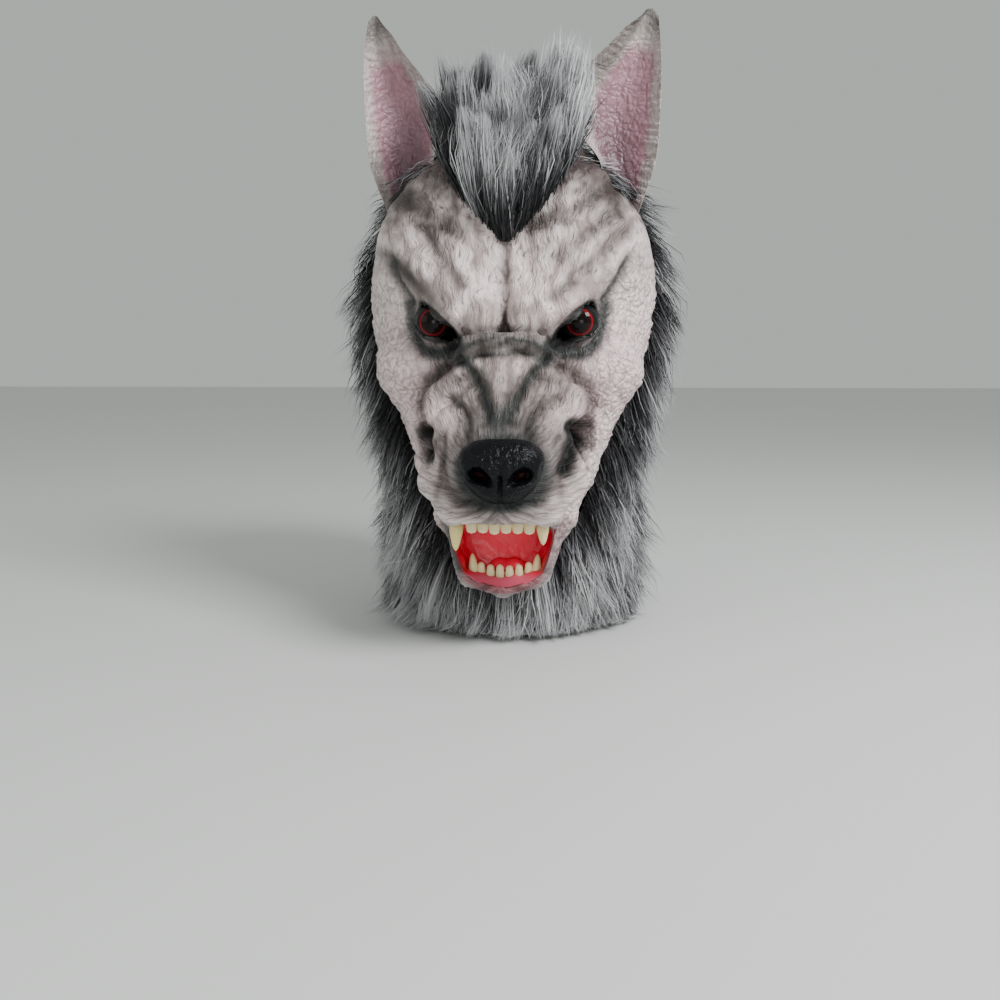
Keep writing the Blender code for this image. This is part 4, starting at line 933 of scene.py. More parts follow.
def build_face():
    """Skin on a fan of rays, out to the form, less the grooves, plus brows, lids and lumps."""
    side, level = np.meshgrid(np.linspace(-1, 1, FACE_COLUMNS), np.linspace(0, 1, FACE_ROWS))
    ragged = 1.0 + RAGGED_RIM * np.abs(side) ** 10 * noise_at(3, level * 110, side * 3)
    starts, directions = face_rays(side, level, ragged)
    reach = ray_reach(face_distance, starts, directions, 0.0, first_reach(side, level), 34)
    across, height = on_sheet(ray_points(starts, directions, reach))
    depth, paint = drawn_folds(across, height)
    along, up, edge = brow_frame(across, height)
    ridge = np.exp(-((up - edge - 3.5) / 4.6) ** 2) * np.exp(-((along - 1) / 19) ** 4)
    spare = LID_SPARE + LID_ROLL * soft(up - edge, -0.6, 1.2)
    lid = eyelid_reach(starts, directions, spare)
    reach = smooth_max(reach + BROW_RIDGE * ridge / 1000, lid, LID_BLEND)
    flare = soft(np.abs(side), 0.72, 0.98) * soft(height, 150, 200) * soft(-height, -292, -262)
    reach = reach + RIM_FLARE * flare
    curls = noise_at(10, across * 0.62, height * 0.62)
    pebbled = soft(np.abs(side), 0.55, 0.80) * soft(-height, -262, -225) * (1 - paint["black"])
    reach = reach + CURL_DEPTH * curls * pebbled
    lumps = noise_at(8, across * 0.16, height * 0.10)
    fine = noise_at(9, across * 0.40, height * 0.22)
    calm = np.clip((np.abs(side) - 0.97) / 0.03, 0, 1)
    reach = reach - (depth / 1000 - (LUMP_DEPTH * lumps + FINE_DEPTH * fine)) * (1 - calm)
    points = ray_points(starts, directions, reach)

    mouth = mouth_inside(points)
    eye = eye_inside(across, height)
    nose_half_width, nose_half_height, nose_middle = NOSE_OPENING
    nose_up = (points[..., 2] * 1000 - nose_middle) / nose_half_height
    nose = (across / nose_half_width) ** 2 + nose_up ** 2
    nose = np.where(points[..., 1] < NOSE_CUT_BACK, nose, FAR_OUTSIDE)
    opened = np.minimum(np.minimum(mouth, eye), nose)
    cell = 0.25 * (opened[:-1, :-1] + opened[1:, :-1] + opened[:-1, 1:] + opened[1:, 1:])
    faces = grid_faces(FACE_ROWS, FACE_COLUMNS, keep=cell > 1.0)

    colours = paint_face(points, across, height, side, paint, eye, mouth)
    thing = piece("face_skin", points, faces, latex)
    set_colours(thing, np.concatenate([colours, pebbled[..., None]], -1))
    angle = np.arctan2(np.abs(across), height - FLOW_CENTRE_HEIGHT)
    radius = np.hypot(across, height - FLOW_CENTRE_HEIGHT)
    width = FLOW_SPREAD * radius + FLOW_WIDTH
    flow = np.stack([angle * width * 0.001, radius * 0.001], -1)
    set_flow(thing, flow.reshape(-1, 2))
    mend(thing, trim=True)
    wall(thing, LATEX_WALL)
    ready(thing, "latex", "face")


def paint_face(points, across, height, side, paint, eye, mouth):
    """Pale latex, pink cheeks and lips, then washes over folds, eyes, nose and crown, painted
    shade in the mouth corner holes and a painted sheen on the root fold.
    """
    width = np.abs(across)
    cloud = noise_at(11, across * 0.05, height * 0.05)
    speck = noise_at(12, across * 0.30, height * 0.30)
    pink = sum(strength * np.exp(-((width - out) / half) ** 2 - ((height - up) / tall) ** 2)
               for strength, out, half, up, tall in CHEEK_PINKS)
    colour = tinted(LATEX_PALE, LATEX_PINK, np.clip(pink + 0.10 * cloud, 0, 0.85))
    brown = paint["brown"] * (0.86 + 0.30 * cloud)
    crown = 0.88 * soft(height + 24 * cloud + 14 * speck, 240, 304)
    rim = 0.35 * soft(np.abs(side) + 0.03 * cloud, 0.90, 1.0) * soft(height, 235, 300)
    muzzle = np.exp(-(width / 40) ** 4 - ((height - 146) / 42) ** 4)
    muzzle = muzzle * (0.54 + 0.24 * cloud + 0.10 * speck)
    brown = 1 - (1 - brown) * (1 - crown) * (1 - rim) * (1 - muzzle)
    _, up, edge = brow_frame(across, height)
    below_brow = soft(edge - up, -2.0, -0.8)
    socket_line = np.exp(-np.maximum(np.clip(eye, 0, 60) - 1.6, 0) / 1.1)
    under_eye = np.exp(-(path_distance(width, height, UNDER_EYE_LINE) / 4.6) ** 4)
    eye_shade = np.maximum(0.97 * socket_line, 0.94 * under_eye) * below_brow
    nose_across = across - 2.5
    nose_ring = np.hypot(nose_across / 27.0, (height - 113) / 22.0)
    nose_shade = 0.97 * soft(-nose_ring, -1.32, -0.98)
    philtrum = soft(height, 84, 92) * soft(-height, -122, -112)
    philtrum = 0.90 * np.exp(-(nose_across / 6.0) ** 2) * philtrum
    nose_cloud = np.hypot(nose_across / 34.0, (height - 122) / 30.0)
    nose_cloud = 0.72 * np.exp(-(nose_cloud / 1.05) ** 4)
    green = 1 - ((1 - paint["green"]) * (1 - eye_shade) * (1 - nose_shade) * (1 - philtrum)
                 * (1 - nose_cloud))
    lips = np.exp(-(np.maximum(mouth - 1.0, 0) / 1.3) ** 2)
    lips = 0.96 * lips * soft(-points[..., 2], -0.089, -0.080)
    web = lips * soft(points[..., 0], 0.022, 0.028) * soft(points[..., 2], 0.052, 0.060)
    gum = soft(-mouth, -1.80, -1.40) * soft(-points[..., 2], -0.054, -0.047)
    green = 1 - (1 - green) * (1 - lips * (1 - 0.8 * web) * (1 - gum))
    colour = tinted(colour, PAINT_TONES["brown"], np.clip(brown + 0.06 * speck, 0, 1))
    colour = tinted(colour, PAINT_TONES["green"], green)
    # Near black painted shade in the mouth corner holes.
    colour = tinted(colour, PAINT_TONES["black"], paint["black"])
    # Pale painted sheen over the dark root fold.
    colour = tinted(colour, PAINT_TONES["pale"], paint["pale"])
    colour = tinted(colour, LIP_WEB_RED, 0.6 * web)
    colour = tinted(colour, LIP_GUM_RED, 0.85 * gum)
    return np.clip(colour * (1 + 0.07 * speck + 0.06 * cloud)[..., None], 0, 1)


# Nose, eyes, mouth and teeth

def build_nose():
    """Squared ellipsoid. Each nostril is a bell-shaped pit and the middle carries a groove."""
    _, ball = ball_grid(90, 140, pole=0.02)
    ball = ball * ((np.abs(ball) ** NOSE_SQUARENESS).sum(-1) ** (-1 / NOSE_SQUARENESS))[..., None]
    ball[..., 0] *= 0.95 + 0.20 * ball[..., 2] - 0.10 * np.clip(-ball[..., 2] - 0.3, 0, 1)
    local = ball * np.array([NOSE_HALF_WIDTH, NOSE_HALF_DEPTH, NOSE_HALF_HEIGHT])
    x, z = local[..., 0] * 1000, local[..., 2] * 1000
    front = np.clip(-ball[..., 1], 0, 1)
    pit = np.zeros(x.shape)
    for sign in (-1, 1):
        out = sign * x - NOSTRIL_ACROSS
        comma = z + 2.5 + 0.045 * (out - 3) ** 2 - 1.2
        pit += np.exp(-((out / 6.0) ** 2 + (comma / 4.0) ** 2) ** 1.6)
    wing = np.exp(-(((np.abs(x) - 11.5) / 10.5) ** 2 + ((z + 2.5) / 8.5) ** 2))
    rim = NOSE_ROLL * (wing - pit) * front
    groove = NOSE_GROOVE * np.exp(-(x / 1.3) ** 2) * soft(-z, -2, 4) * front
    bumps = NOSE_BUMPS * noise_at(21, x * 0.45, z * 0.45) * front
    local[..., 1] += (NOSTRIL_DEPTH * pit * front - rim + groove - bumps) / 1000
    forward = -(NOSE_REACH - NOSE_HALF_DEPTH) + 0.0006
    centre = np.array([0.0020, forward, NOSE_CENTRE_HEIGHT])
    thing = piece("nose_pad", local + centre, tube_faces(*x.shape), nose_black)
    set_colours(thing, tinted(NOSE_BLACK, NOSTRIL_RED, 0.9 * soft(pit * front, 0.62, 0.97)))
    mend(thing)
    ready(thing, "nose", "nose")


def build_eye(name, sign, node):
    """Ball looking ahead, coloured by the distance from its pole: pupil, red ring, dark edge."""
    tilt, ball = ball_grid(60, 72)
    away = np.sin(np.minimum(tilt, np.pi / 2)) * EYE_VISIBLE_RADIUS * 1000
    # A faint painted red glow on the pupil just inside the ring.
    glow = 0.20 * np.exp(-((away - 6.2) / 1.0) ** 2)
    colour = PUPIL_BLACK + glow[..., None] * EYE_GLOW
    colour = tinted(colour, EYE_RING_RED, np.exp(-((away - 7.9) / 0.60) ** 4))
    outside = np.clip(soft(away, 8.3, 8.8) + (tilt > np.pi / 2), 0, 1)
    points = (ball * EYE_VISIBLE_RADIUS) @ turned(sign * -4, 4, 0).T + eye_centre(sign)
    thing = piece(name, points, grid_faces(*tilt.shape, wrap=True), eye_paint)
    set_colours(thing, tinted(colour, EYE_EDGE_BLACK, outside))
    mend(thing, merge=True)
    ready(thing, "eye", node)


def mouth_loop(forward, inset, side_inset=0.0, count=120):
    """Rounded outline of the mouth, wider at the top: sine and cosine to the power 0.6."""
    turn = np.arange(count) * 2 * np.pi / count
    up = np.sign(np.sin(turn)) * np.abs(np.sin(turn)) ** MOUTH_LOOP_POWER
    out = np.sign(np.cos(turn)) * np.abs(np.cos(turn)) ** MOUTH_LOOP_POWER
    across = (mouth_half_width(up) - inset - side_inset) * out
    height = MOUTH_MIDDLE + (MOUTH_HALF_HEIGHT - inset) * up
    return np.stack([across, 0 * turn - forward, height], -1)


def lip_loop():
    """Outline at the lips, bowed back to the sides and dropped a little at the bottom."""
    loop = mouth_loop(0.0, 0.0006)
    share = (loop[:, 2] - MOUTH_BOTTOM) / (MOUTH_TOP - MOUTH_BOTTOM)
    reach = LOWER_LIP_REACH + (UPPER_LIP_REACH - LOWER_LIP_REACH) * share
    bow = (0.012 + 0.006 * share) * (np.abs(loop[:, 0]) / MOUTH_TOP_HALF) ** 2
    loop[:, 1] = -(reach - 0.0025 * share - bow) - 0.0020 * (1 - share)
    loop[:, 2] -= 0.0035 * (1 - share) ** 2
    return loop


def build_lining():
    """Pocket through a stack of mouth outlines, from the lips to a ridged back wall."""
    steps = np.linspace(0, 1, 60)
    shares = np.array([0.0] + [row[0] for row in LINING_LOOPS])
    stack = np.stack([lip_loop()] + [mouth_loop(*row[1:]) for row in LINING_LOOPS])
    index = np.clip(np.searchsorted(shares, steps) - 1, 0, len(shares) - 2)
    part = ((steps - shares[index]) / (shares[index + 1] - shares[index]))[:, None, None]
    points = stack[index] * (1 - part) + stack[index + 1] * part
    ridge = 0.0011 * np.sin(points[..., 1] * 900) * soft(points[..., 2], 0.074, 0.084)
    folds = 0.0016 * value_noise(points * 150.0, 31)
    inward = unit(np.array([0, 0, 0.066]) - points * np.array([1, 0, 1]))
    relief = (ridge + folds + 0.0008) * soft(steps, 0.05, 0.3)[:, None]
    points = points + inward * relief[..., None]
    gum_bulge = np.exp(-((points[..., 1] + 0.1005) / 0.0060) ** 2)
    points[..., 2] += 0.0046 * soft(-points[..., 2], -0.054, -0.046) * gum_bulge
    x, y, z = points[..., 0], points[..., 1], points[..., 2]
    # Painted light and shade: the mouth red is lighter in the middle and shaded darker towards the
    # sides.
    colour = tinted(MOUTH_LIT_RED, MOUTH_SHADED_RED, soft(np.abs(x), 0.010, 0.026))
    middle = np.exp(-(x / 0.009) ** 2 - ((z - 0.074) / 0.007) ** 2)
    colour = tinted(colour, PALATE_PINK, 0.45 * middle)
    edge = soft(-z, -0.053, -0.048) * soft(-y, 0.090, 0.094)
    colour = tinted(colour, GUM_PINK, edge)
    lip = soft(-steps, -0.055, -0.010)[:, None] * soft(z, 0.048, 0.056)
    colour = tinted(colour, MOUTH_RIM_DARK, 0.85 * lip)
    thing = piece("mouth_pocket", points, tube_faces(*x.shape, first_cap=False), mouth_red)
    set_colours(thing, colour)
    mend(thing)
    wall(thing, LINING_WALL)
    ready(thing, "mouth", "mouth_lining")


def build_tongue():
    """Flattened ball with a groove along the middle."""
    tilt, ball = ball_grid(50, 64)
    points = ball * np.array([0.0120, 0.0060, 0.0070])
    points[..., 2] -= 0.0016 * np.exp(-(points[..., 0] / 0.0025) ** 2) * (ball[..., 2] > 0)
    points = points + np.array([0.002, -0.0925, 0.0535])
    thing = piece("tongue_body", points, grid_faces(*tilt.shape, wrap=True), mouth_red)
    set_colours(thing, np.zeros(points.shape) + TONGUE_RED)
    mend(thing, merge=True)
    ready(thing, "mouth", "tongue")


def tooth_points(root, tip, width, depth, blunt, bend):
    """Rings on a bent axis, thinner from the gum to the tip by a power of the share left."""
    share = np.linspace(0, 1, TOOTH_RINGS)[:, None]
    turn = np.arange(TOOTH_SIDES)[None, :] * 2 * np.pi / TOOTH_SIDES
    belly = 0.88 + 0.12 * np.sin(np.pi * np.minimum(share * 1.6, 1))
    thick = np.maximum((1 - share ** blunt) ** 0.62 * belly, 0.02)
    bow = np.array([0, 1, 0]) * (bend * 4 * share * (1 - share))[..., None]
    across, forward = 0.5 * width * thick * np.cos(turn), 0.5 * depth * thick * np.sin(turn)
    ring = np.stack([across, forward, 0 * turn * share], -1)
    return root + (tip - root) * share[..., None] + bow + ring


def teeth_piece(name, teeth, nodes):
    """One piece from many teeth, yellower at the gum and on the fangs."""
    faces, colours = [], []
    share = np.repeat(np.linspace(0, 1, TOOTH_RINGS), TOOTH_SIDES)
    for index, (_, yellow) in enumerate(teeth):
        faces += tube_faces(TOOTH_RINGS, TOOTH_SIDES, index * len(share))
        cream = TOOTH_WHITE * (1 - yellow) + TOOTH_YELLOW * yellow
        colours.append(tinted(cream, GUM_STAIN, 0.75 * (1 - share) ** 3))
    thing = piece(name, np.concatenate([points for points, _ in teeth]), faces, tooth_cream)
    set_colours(thing, np.concatenate(colours))
    mend(thing)
    ready(thing, "tooth", *nodes)


def build_teeth():
    """Six small teeth and two fangs in each jaw, set out on a shallow curve."""
    upper, lower = [], []
    for index in range(6):
        wiggle = 0.0004 * math.sin(index * 2.3)
        pitch, length, *form = UPPER_SMALL
        out = (index - 2.5) * pitch
        root = np.array([out, -(0.1262 - out * out * 6.0), 0.0900])
        tip = root + np.array([0, -0.0006, wiggle - length])
        upper.append((tooth_points(root, tip, *form, 0.0), 0.1))
        pitch, length, *form = LOWER_SMALL
        out = (index - 2.5) * pitch
        root = np.array([out + 0.001, -(0.0998 - out * out * 9.0), 0.0475 + out * out * 6])
        tip = root + np.array([0, -0.0006, length - wiggle])
        lower.append((tooth_points(root, tip, *form, 0.0), 0.1))
    for sign, across, length, width, yellow in UPPER_FANGS:
        root = np.array([across, -0.1215, 0.0895])
        tip = root + np.array([sign * 0.0006, -0.0015, -length])
        upper.append((tooth_points(root, tip, width, 0.0080, 2.6, -0.0015), yellow))
        root = np.array([sign * 0.0196 + 0.001, -0.0965, 0.0485])
        tip = root + np.array([sign * 0.0012, -0.0010, 0.0150])
        lower.append((tooth_points(root, tip, 0.0070, 0.0068, 2.6, -0.001), 0.3))
    names = ["incisor_%d" % number for number in range(1, 7)] + ["fang_left", "fang_right"]
    teeth_piece("upper_teeth", upper, ["upper_" + word for word in names])
    teeth_piece("lower_teeth", lower, ["lower_" + word for word in names])


# Ears

def ear_point(share, across, sign):
    """Point from the outer to the inner edge, set back by a parabola across the cup."""
    sections = LEFT_EAR_SECTIONS if sign < 0 else RIGHT_EAR_SECTIONS
    outer_x, inner_x, cup = (along_rows(share, sections, column) * FACE_HALF_WIDTH
                             for column in (1, 3, 5))
    outer_z, inner_z = (along_rows(share, sections, column) * EAR_TIP_HEIGHT
                        for column in (2, 4))
    bow = (2.0 * across - 1.0) ** 2
    x = outer_x + (inner_x - outer_x) * across
    z = outer_z + (inner_z - outer_z) * across - EAR_TIP_ROUNDING * bow * soft(share, 0.82, 1.0)
    y = cup * (1.0 - bow) - EAR_REACH - EAR_TURN_REACH * across * (1 - share)
    return np.stack([sign * x, y, z], -1)


def sheet_border(rows, columns):
    """Indices round the border of a grid, in order."""
    index = np.arange(rows * columns).reshape(rows, columns)
    return np.concatenate([index[0], index[1:, -1], index[-1, -2::-1], index[-2:0:-1, 0]])


def build_ear(name, sign, node):
    """Closed cup: front sheet, back sheet behind it, and a rim that thins to the edges."""
    share, across = np.meshgrid(np.linspace(-0.12, 1, 110), np.linspace(0, 1, 84), indexing="ij")
    front = ear_point(share, across, sign)
    edge = np.minimum(across, 1 - across) * 2
    fold = noise_at(41, across * 3 + share * 2, share * 16, sign)
    ruffle = EAR_RUFFLE * fold * np.exp(-(edge / 0.45) ** 2)
    long_fold = EAR_LONG_FOLD * np.exp(-((across - 0.62) / 0.07) ** 2) * (1 - share)
    crease = np.sin(share * 150 + 5 * fold + 8 * across)
    furrow = EAR_FURROW * crease * np.exp(-((edge - 0.18) / 0.16) ** 2)
    front[..., 1] += ruffle - long_fold + furrow
    roll = np.sqrt(np.clip(edge * 5.0, 0, 1)) * 0.65 + 0.35
    back = front.copy()
    back[..., 1] += (EAR_THICKNESS - EAR_TIP_THINNING * share) * roll
    sheet = grid_faces(*share.shape)
    border = sheet_border(*share.shape)
    following = np.roll(border, -1)
    rim = np.stack([border, following, following + share.size, border + share.size], -1)
    faces = np.concatenate([sheet, sheet[:, ::-1] + share.size, rim])
    points = np.concatenate([front.reshape(-1, 3), back.reshape(-1, 3)])
    thing = piece(name, points, faces, ear_latex)
    inner_edge = (0.73 if sign > 0 else 0.84) + 0.03 * fold
    cup = soft(across + 0.03 * fold, 0.07, 0.17) * soft(inner_edge - across, -0.05, 0.05)
    cup = cup * soft(-share - 0.04 * fold, -0.86, -0.70)
    # Painted shade deep in the ear cup, darkest towards its bottom and middle.
    depth = 0.85 * soft(-share, -0.74, -0.12) * soft(edge, 0.15, 0.75)
    colour = tinted(EAR_GREY, tinted(EAR_PINK, EAR_CUP_SHADE, depth), cup)
    outer_fold = 0.75 * soft(across, 0.66, 0.80) * soft(share + 0.05 * fold, 0.40, 0.62)
    colour = tinted(colour, EAR_FOLD_GREY, outer_fold * (1.0 if sign > 0 else 0.45))
    dark_tip = 0.85 * soft(share + 0.06 * fold, 0.78, 0.98)
    colour = tinted(colour, EAR_TIP_GREY, dark_tip) * (1 + 0.10 * fold)[..., None]
    mottle = noise_at(43, across * 9, share * 22, 2)
    backing = EAR_BACK_GREY * (1 + 0.35 * mottle)[..., None]
    set_colours(thing, np.clip(np.stack([colour, backing]), 0, 1))
    flow = np.stack([across * 0.05, share * 0.10], -1).reshape(-1, 2)
    set_flow(thing, np.concatenate([flow, flow]))
    mend(thing)
    ready(thing, "ear", node)


# Fur

def strands(name, roots, normals, flow, length, lift, droop, clump_of, clump_tip, pull, width,
            tone):
    """Three-step ribbons along their flow, lifted by a sine, drooped by a square and clumped."""
    count = len(roots)
    share = STRAND_STEPS[None, :, None]
    lean = unit(flow + 0.22 * rng.normal(size=flow.shape))
    length = length[:, None, None]
    lift = lift[:, None, None]
    path = roots[:, None] + length * (share * lean[:, None] * (1 - 0.25 * lift * share))
    path = path + length * lift * np.sin(share * 1.35) * normals[:, None]
    path[..., 2] -= (length[..., 0] * droop[:, None]) * share[..., 0] ** 2
    gather = pull[:, None, None] * share ** 1.5
    to_tip = roots[:, None] * (1 - share) + clump_tip[clump_of][:, None] * share
    path = path * (1 - gather) + to_tip * gather
    tangent = np.gradient(path, axis=1)
    twist = unit(rng.normal(size=(count, 1, 3)) + 1.2 * normals[:, None])
    side = unit(np.cross(tangent, twist)) * (0.5 * width[:, None] * STRAND_WIDTHS)[..., None]
    pairs = np.stack([path - side, path + side], 2)
    points = np.concatenate([pairs[:, :3].reshape(count, 6, 3), path[:, 3:]], 1)
    base = np.arange(count)[:, None] * 7
    quads = np.concatenate([base + np.array([0, 1, 3, 2]), base + np.array([2, 3, 5, 4])])
    tips = base + np.array([4, 5, 6])
    thing = piece(name, points, quads.tolist() + tips.tolist(), fur)
    along = np.append(np.repeat(STRAND_STEPS[:3], 2), 1.0)[None, :] + 0.34 * tone[:, None]
    colour = tinted(FUR_BLACK, FUR_CHARCOAL, soft(along, 0.10, 0.48))
    set_colours(thing, tinted(colour, FUR_SILVER, soft(along, 0.42, 0.98)))
    return thing


def hood_surface(angle, height_share):
    """Point on the head form at an angle from the front and a share from neck to crown."""
    height = np.minimum(height_share, DOME_START) * CROWN_HEIGHT
    rise = np.radians(np.clip((height_share - DOME_START) / 0.355, 0, 1) * 88)
    starts, directions = rays(NECK_SET_BACK, height, angle, rise)
    reach = ray_reach(head_distance, starts, directions, 0.0, 0.16, 26)
    return ray_points(starts, directions, reach)


def rim_angle(height_share):
    """Angle from the front where the latex ends and the fur begins, by height."""
    return np.radians(between_rows(height_share, FUR_RIM))


def build_undercoat():
    """Cloth of the hood on a grid round the head, open where the face is."""
    share, turn = np.meshgrid(np.linspace(0, 1, 90), np.linspace(0, 1, 150), indexing="ij")
    rim = np.maximum(rim_angle(share) - 0.17 * soft(share, 0.22, 0.34), 0.0)
    points = hood_surface(rim + (2 * np.pi - 2 * rim) * turn, share)
    thing = piece("hood_cloth", points, grid_faces(*share.shape), undercoat)
    mend(thing)
    wall(thing, CLOTH_WALL)
    ready(thing, "fur", *["hood_%s_%s" % (gore, band) for gore in ("left", "back", "right")
                          for band in ("neck", "head", "crown")])


def nearest_clump(roots, centres):
    """Index of the nearest clump for each root, in blocks to spare memory."""
    nearest = np.zeros(len(roots), dtype=int)
    for start in range(0, len(roots), 4000):
        block = roots[start:start + 4000]
        away = ((block[:, None] - centres[None]) ** 2).sum(-1)
        nearest[start:start + 4000] = away.argmin(1)
    return nearest


def hood_strands(name, count, side, low_angle, high_angle):
    """Strands of one part of the hood, rooted evenly over the head form, drawn into clumps."""
    share = rng.uniform(0.015, 0.995, count * 2)
    angle_share = rng.uniform(0, 1, count * 2)
    rim = rim_angle(share)
    high = np.radians(high_angle)
    nearer = 0.125 + 0.05 * soft(-share, -0.42, -0.32)
    low = np.maximum(np.radians(low_angle), rim - nearer)
    angle = low + (high - low) * angle_share
    keep = rng.uniform(0, 1, count * 2) < np.clip((high - low) / 1.9, 0.12, 1)
    thin = np.where(share > 0.70, np.clip(2.4 * (1.03 - share), 0.06, 1), 1)
    keep &= rng.uniform(0, 1, count * 2) < thin
    share, angle, rim = share[keep][:count], side * angle[keep][:count], rim[keep][:count]
    count = len(share)
    roots = hood_surface(angle, share)
    normals = surface_normals(head_distance, roots)
    near_rim = np.exp(-(np.abs(angle) - rim) / 0.30)
    top = soft(share, 0.72, 1.0)[:, None]
    flow = (DOWN - (normals @ DOWN)[:, None] * normals) * (1 - 0.55 * top)
    flow = unit(flow + BACK * (0.12 + 0.75 * top) + 0.12 * normals * (0.4 + near_rim[:, None]))
    length = HOOD_STRAND_LENGTH * (0.72 + 0.5 * rng.uniform(size=count))
    length = length * (1 - 0.25 * soft(share, 0.80, 1.0)) * (1 - 0.55 * soft(-share, -0.10, 0.0))
    lift = np.clip(0.24 + 0.06 * near_rim + 0.07 * rng.normal(size=count), 0.10, 0.50)
    droop = 0.16 + 0.14 * rng.uniform(size=count)
    clumps = max(count // STRANDS_PER_CLUMP, 1)
    pick = rng.choice(count, clumps, replace=False)
    clump_of = nearest_clump(roots, roots[pick])
    clump_flow = unit(flow[pick] + 0.26 * rng.normal(size=(clumps, 3)))
    clump_tip = roots[pick] + length[pick, None] * (0.92 * clump_flow + 0.27 * normals[pick])
    clump_tip[:, 2] = np.maximum(clump_tip[:, 2] - 0.12 * length[pick], 0.004)
    tone = (rng.normal(size=clumps) * 0.70)[clump_of] + 0.34 * rng.normal(size=count) + 0.16
    tone = tone - 0.60 * near_rim * soft(share, 0.22, 0.42)
    pull = rng.uniform(0.45, 0.92, count)
    width = rng.uniform(0.00045, 0.00085, count)
    thing = strands(name, roots - normals * 0.001, normals, flow, length, lift, droop, clump_of,
                    clump_tip, pull, width, tone)
    keep_above_floor(thing)
    ready(thing, "fur")


def keep_above_floor(thing):
    """Points held above the surface that the neck rests on."""
    flat = np.zeros(len(thing.data.vertices) * 3, dtype=np.float32)
    thing.data.vertices.foreach_get("co", flat)
    height = flat[2::3]
    low = height < FLOOR_GAP
    height[low] = FLOOR_GAP + 0.1 * np.maximum(height[low], -0.02) + 0.002
    thing.data.vertices.foreach_set("co", flat)


def forelock_half_side(level):
    """Half width of the tuft's base as a share of the face, from the brow to the crown."""
    return between_rows(level, FORELOCK_WIDTH)


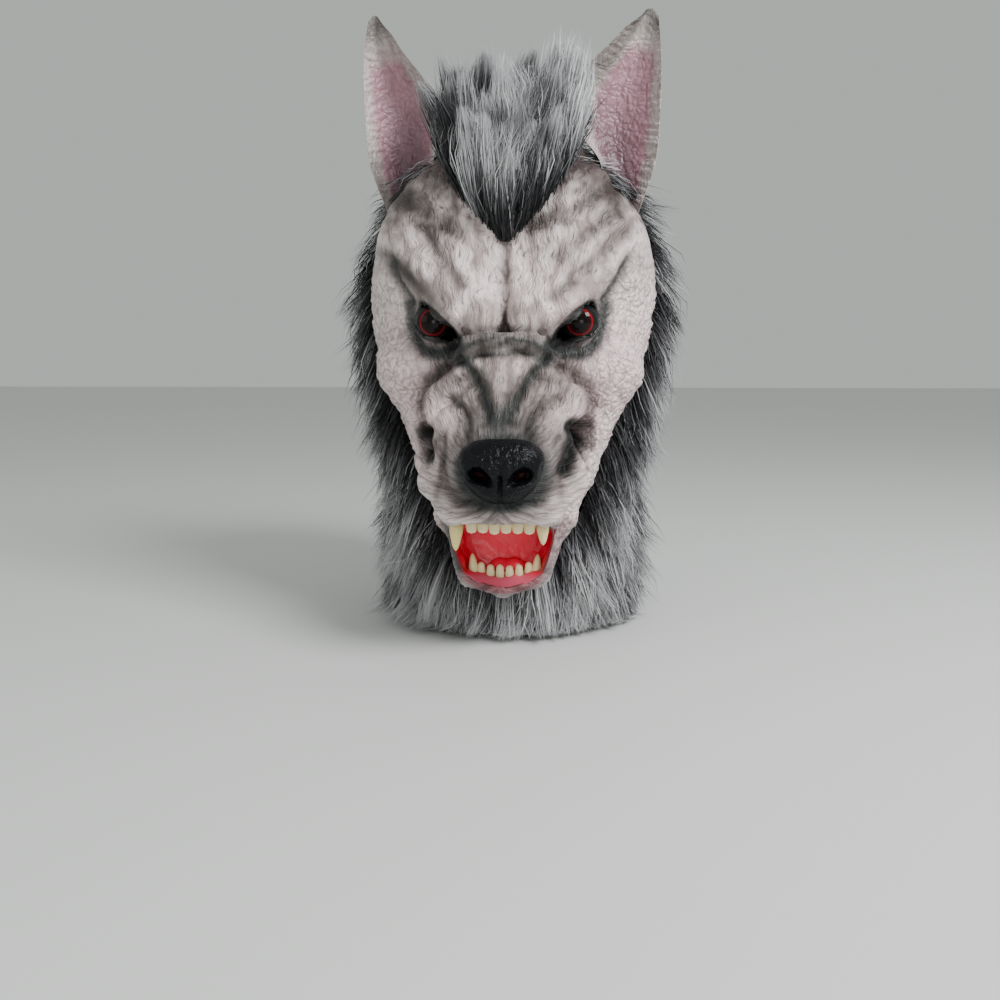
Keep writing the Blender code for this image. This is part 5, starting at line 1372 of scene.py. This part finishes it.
def build_forelock():
    """Strands fanned up from the brow's peak over the crown, with one tall tuft to the right."""
    count, clumps = FORELOCK_STRANDS, FORELOCK_CLUMPS
    level = 0.842 + 0.158 * rng.uniform(size=count) ** 0.80
    spot = rng.beta(1.3, 1.3, count) * 2 - 1
    side = forelock_half_side(level) * spot + 0.02 * rng.normal(size=count)
    starts, directions = face_rays(side, level)
    reach = ray_reach(outer_distance, starts, directions, 0.0006, 0.17, 30)
    roots = ray_points(starts, directions, reach)
    normals = surface_normals(outer_distance, roots)
    fan = roots[:, 0] / 0.045
    high = soft(level, 0.85, 1.0)
    flow = unit(np.stack([0.30 * fan + 0.02, 0.06 + 0.30 * high, 1.0 + 0 * fan], -1))
    tall = np.exp(-((roots[:, 0] - 0.026) / 0.010) ** 2) * soft(level, 0.90, 0.97)
    beside = soft(np.abs(side), 0.50, 0.72)
    length = TUFT_LENGTH + TUFT_CROWN_EXTRA * high + TALL_TUFT_EXTRA * tall
    length = length * (0.60 + 0.50 * rng.uniform(size=count)) * (1 - 0.45 * beside)
    lift = np.clip(0.22 + 0.12 * rng.normal(size=count), 0.05, 0.6)
    droop = 0.02 + 0.08 * rng.uniform(size=count)
    pick = rng.choice(count, clumps, replace=False)
    clump_of = nearest_clump(roots, roots[pick])
    spread = CLUMP_SPREAD * rng.normal(size=(clumps, 3)) * (1 - 0.7 * tall[pick, None])
    clump_flow = unit(flow[pick] + spread)
    clump_length = rng.uniform(0.70, 1.05, clumps)[:, None] * length[pick, None]
    clump_tip = roots[pick] + clump_length * (0.97 * clump_flow + 0.24 * normals[pick])
    tone = (rng.normal(size=clumps) * 1.00)[clump_of] + 0.45 * rng.normal(size=count)
    tone = tone - 0.25 * (1 - soft(level, 0.845, 0.885)) - 0.12 - 1.0 * beside
    pull = rng.uniform(0.62, 0.97, count)
    width = rng.uniform(0.00040, 0.00080, count)
    thing = strands("forelock_strands", roots, normals, flow, length, lift, droop, clump_of,
                    clump_tip, pull, width, tone)
    ready(thing, "fur")
    share, level = np.meshgrid(np.linspace(-0.9, 0.9, 40), np.linspace(0.852, 1.0, 60))
    starts, directions = face_rays(share * forelock_half_side(level), level)
    reach = ray_reach(outer_distance, starts, directions, 0.0012, 0.17, 30)
    points = ray_points(starts, directions, reach)
    patch = piece("forelock_backing", points, grid_faces(*share.shape), undercoat)
    wall(patch, BACKING_WALL)
    ready(patch, "fur", "forelock")


build_face()
build_nose()
build_eye("eye_ball_left", -1, "eye_left")
build_eye("eye_ball_right", 1, "eye_right")
build_lining()
build_tongue()
build_teeth()
build_ear("ear_cup_left", -1, "ear_left")
build_ear("ear_cup_right", 1, "ear_right")
build_undercoat()
for hood_part in HOOD_PARTS:
    hood_strands(*hood_part)
build_forelock()


# Floor, light and camera

def build_stage():
    """Pale floor, a large soft light from the upper right and weak ones from left and front."""
    corners = [(-6, -6, 0), (6, -6, 0), (6, 6, 0), (-6, 6, 0)]
    paint = matt("pale floor", (0.68, 0.70, 0.68), 0.6)
    floor = piece("floor", corners, [(0, 1, 2, 3)], paint, smooth=False, shift=False)
    world = bpy.data.worlds.new("studio")
    world.use_nodes = True
    set_inputs(world.node_tree.nodes["Background"], {"Color": (0.74, 0.78, 0.75, 1.0),
                                                     "Strength": 0.66})
    bpy.context.scene.world = world
    for name, place_at, energy, size in LIGHTS:
        light = bpy.data.lights.new(name, "AREA")
        light.energy = energy
        light.size = size
        lamp = bpy.data.objects.new(name, light)
        lamp.location = place_at
        aim = LIGHT_TARGET - lamp.location
        lamp.rotation_euler = aim.to_track_quat("-Z", "Y").to_euler()
        bpy.context.scene.collection.objects.link(lamp)


def build_camera():
    """Camera a little right of the face, looking down a little."""
    sine, cosine = math.sin(CAMERA_AZIMUTH), math.cos(CAMERA_AZIMUTH)
    level = math.cos(CAMERA_PITCH)
    lens = bpy.data.cameras.new("camera")
    lens.lens = 36.0
    lens.sensor_width = 36.0
    camera = bpy.data.objects.new("camera", lens)
    camera.location = (CAMERA_AWAY * sine - 0.009, -CAMERA_AWAY * cosine + FRAME_SHIFT, 0.185)
    look = Vector((-sine * level, cosine * level, -math.sin(CAMERA_PITCH)))
    camera.rotation_euler = look.to_track_quat("-Z", "Y").to_euler()
    bpy.context.scene.collection.objects.link(camera)
    bpy.context.scene.camera = camera


build_stage()
build_camera()
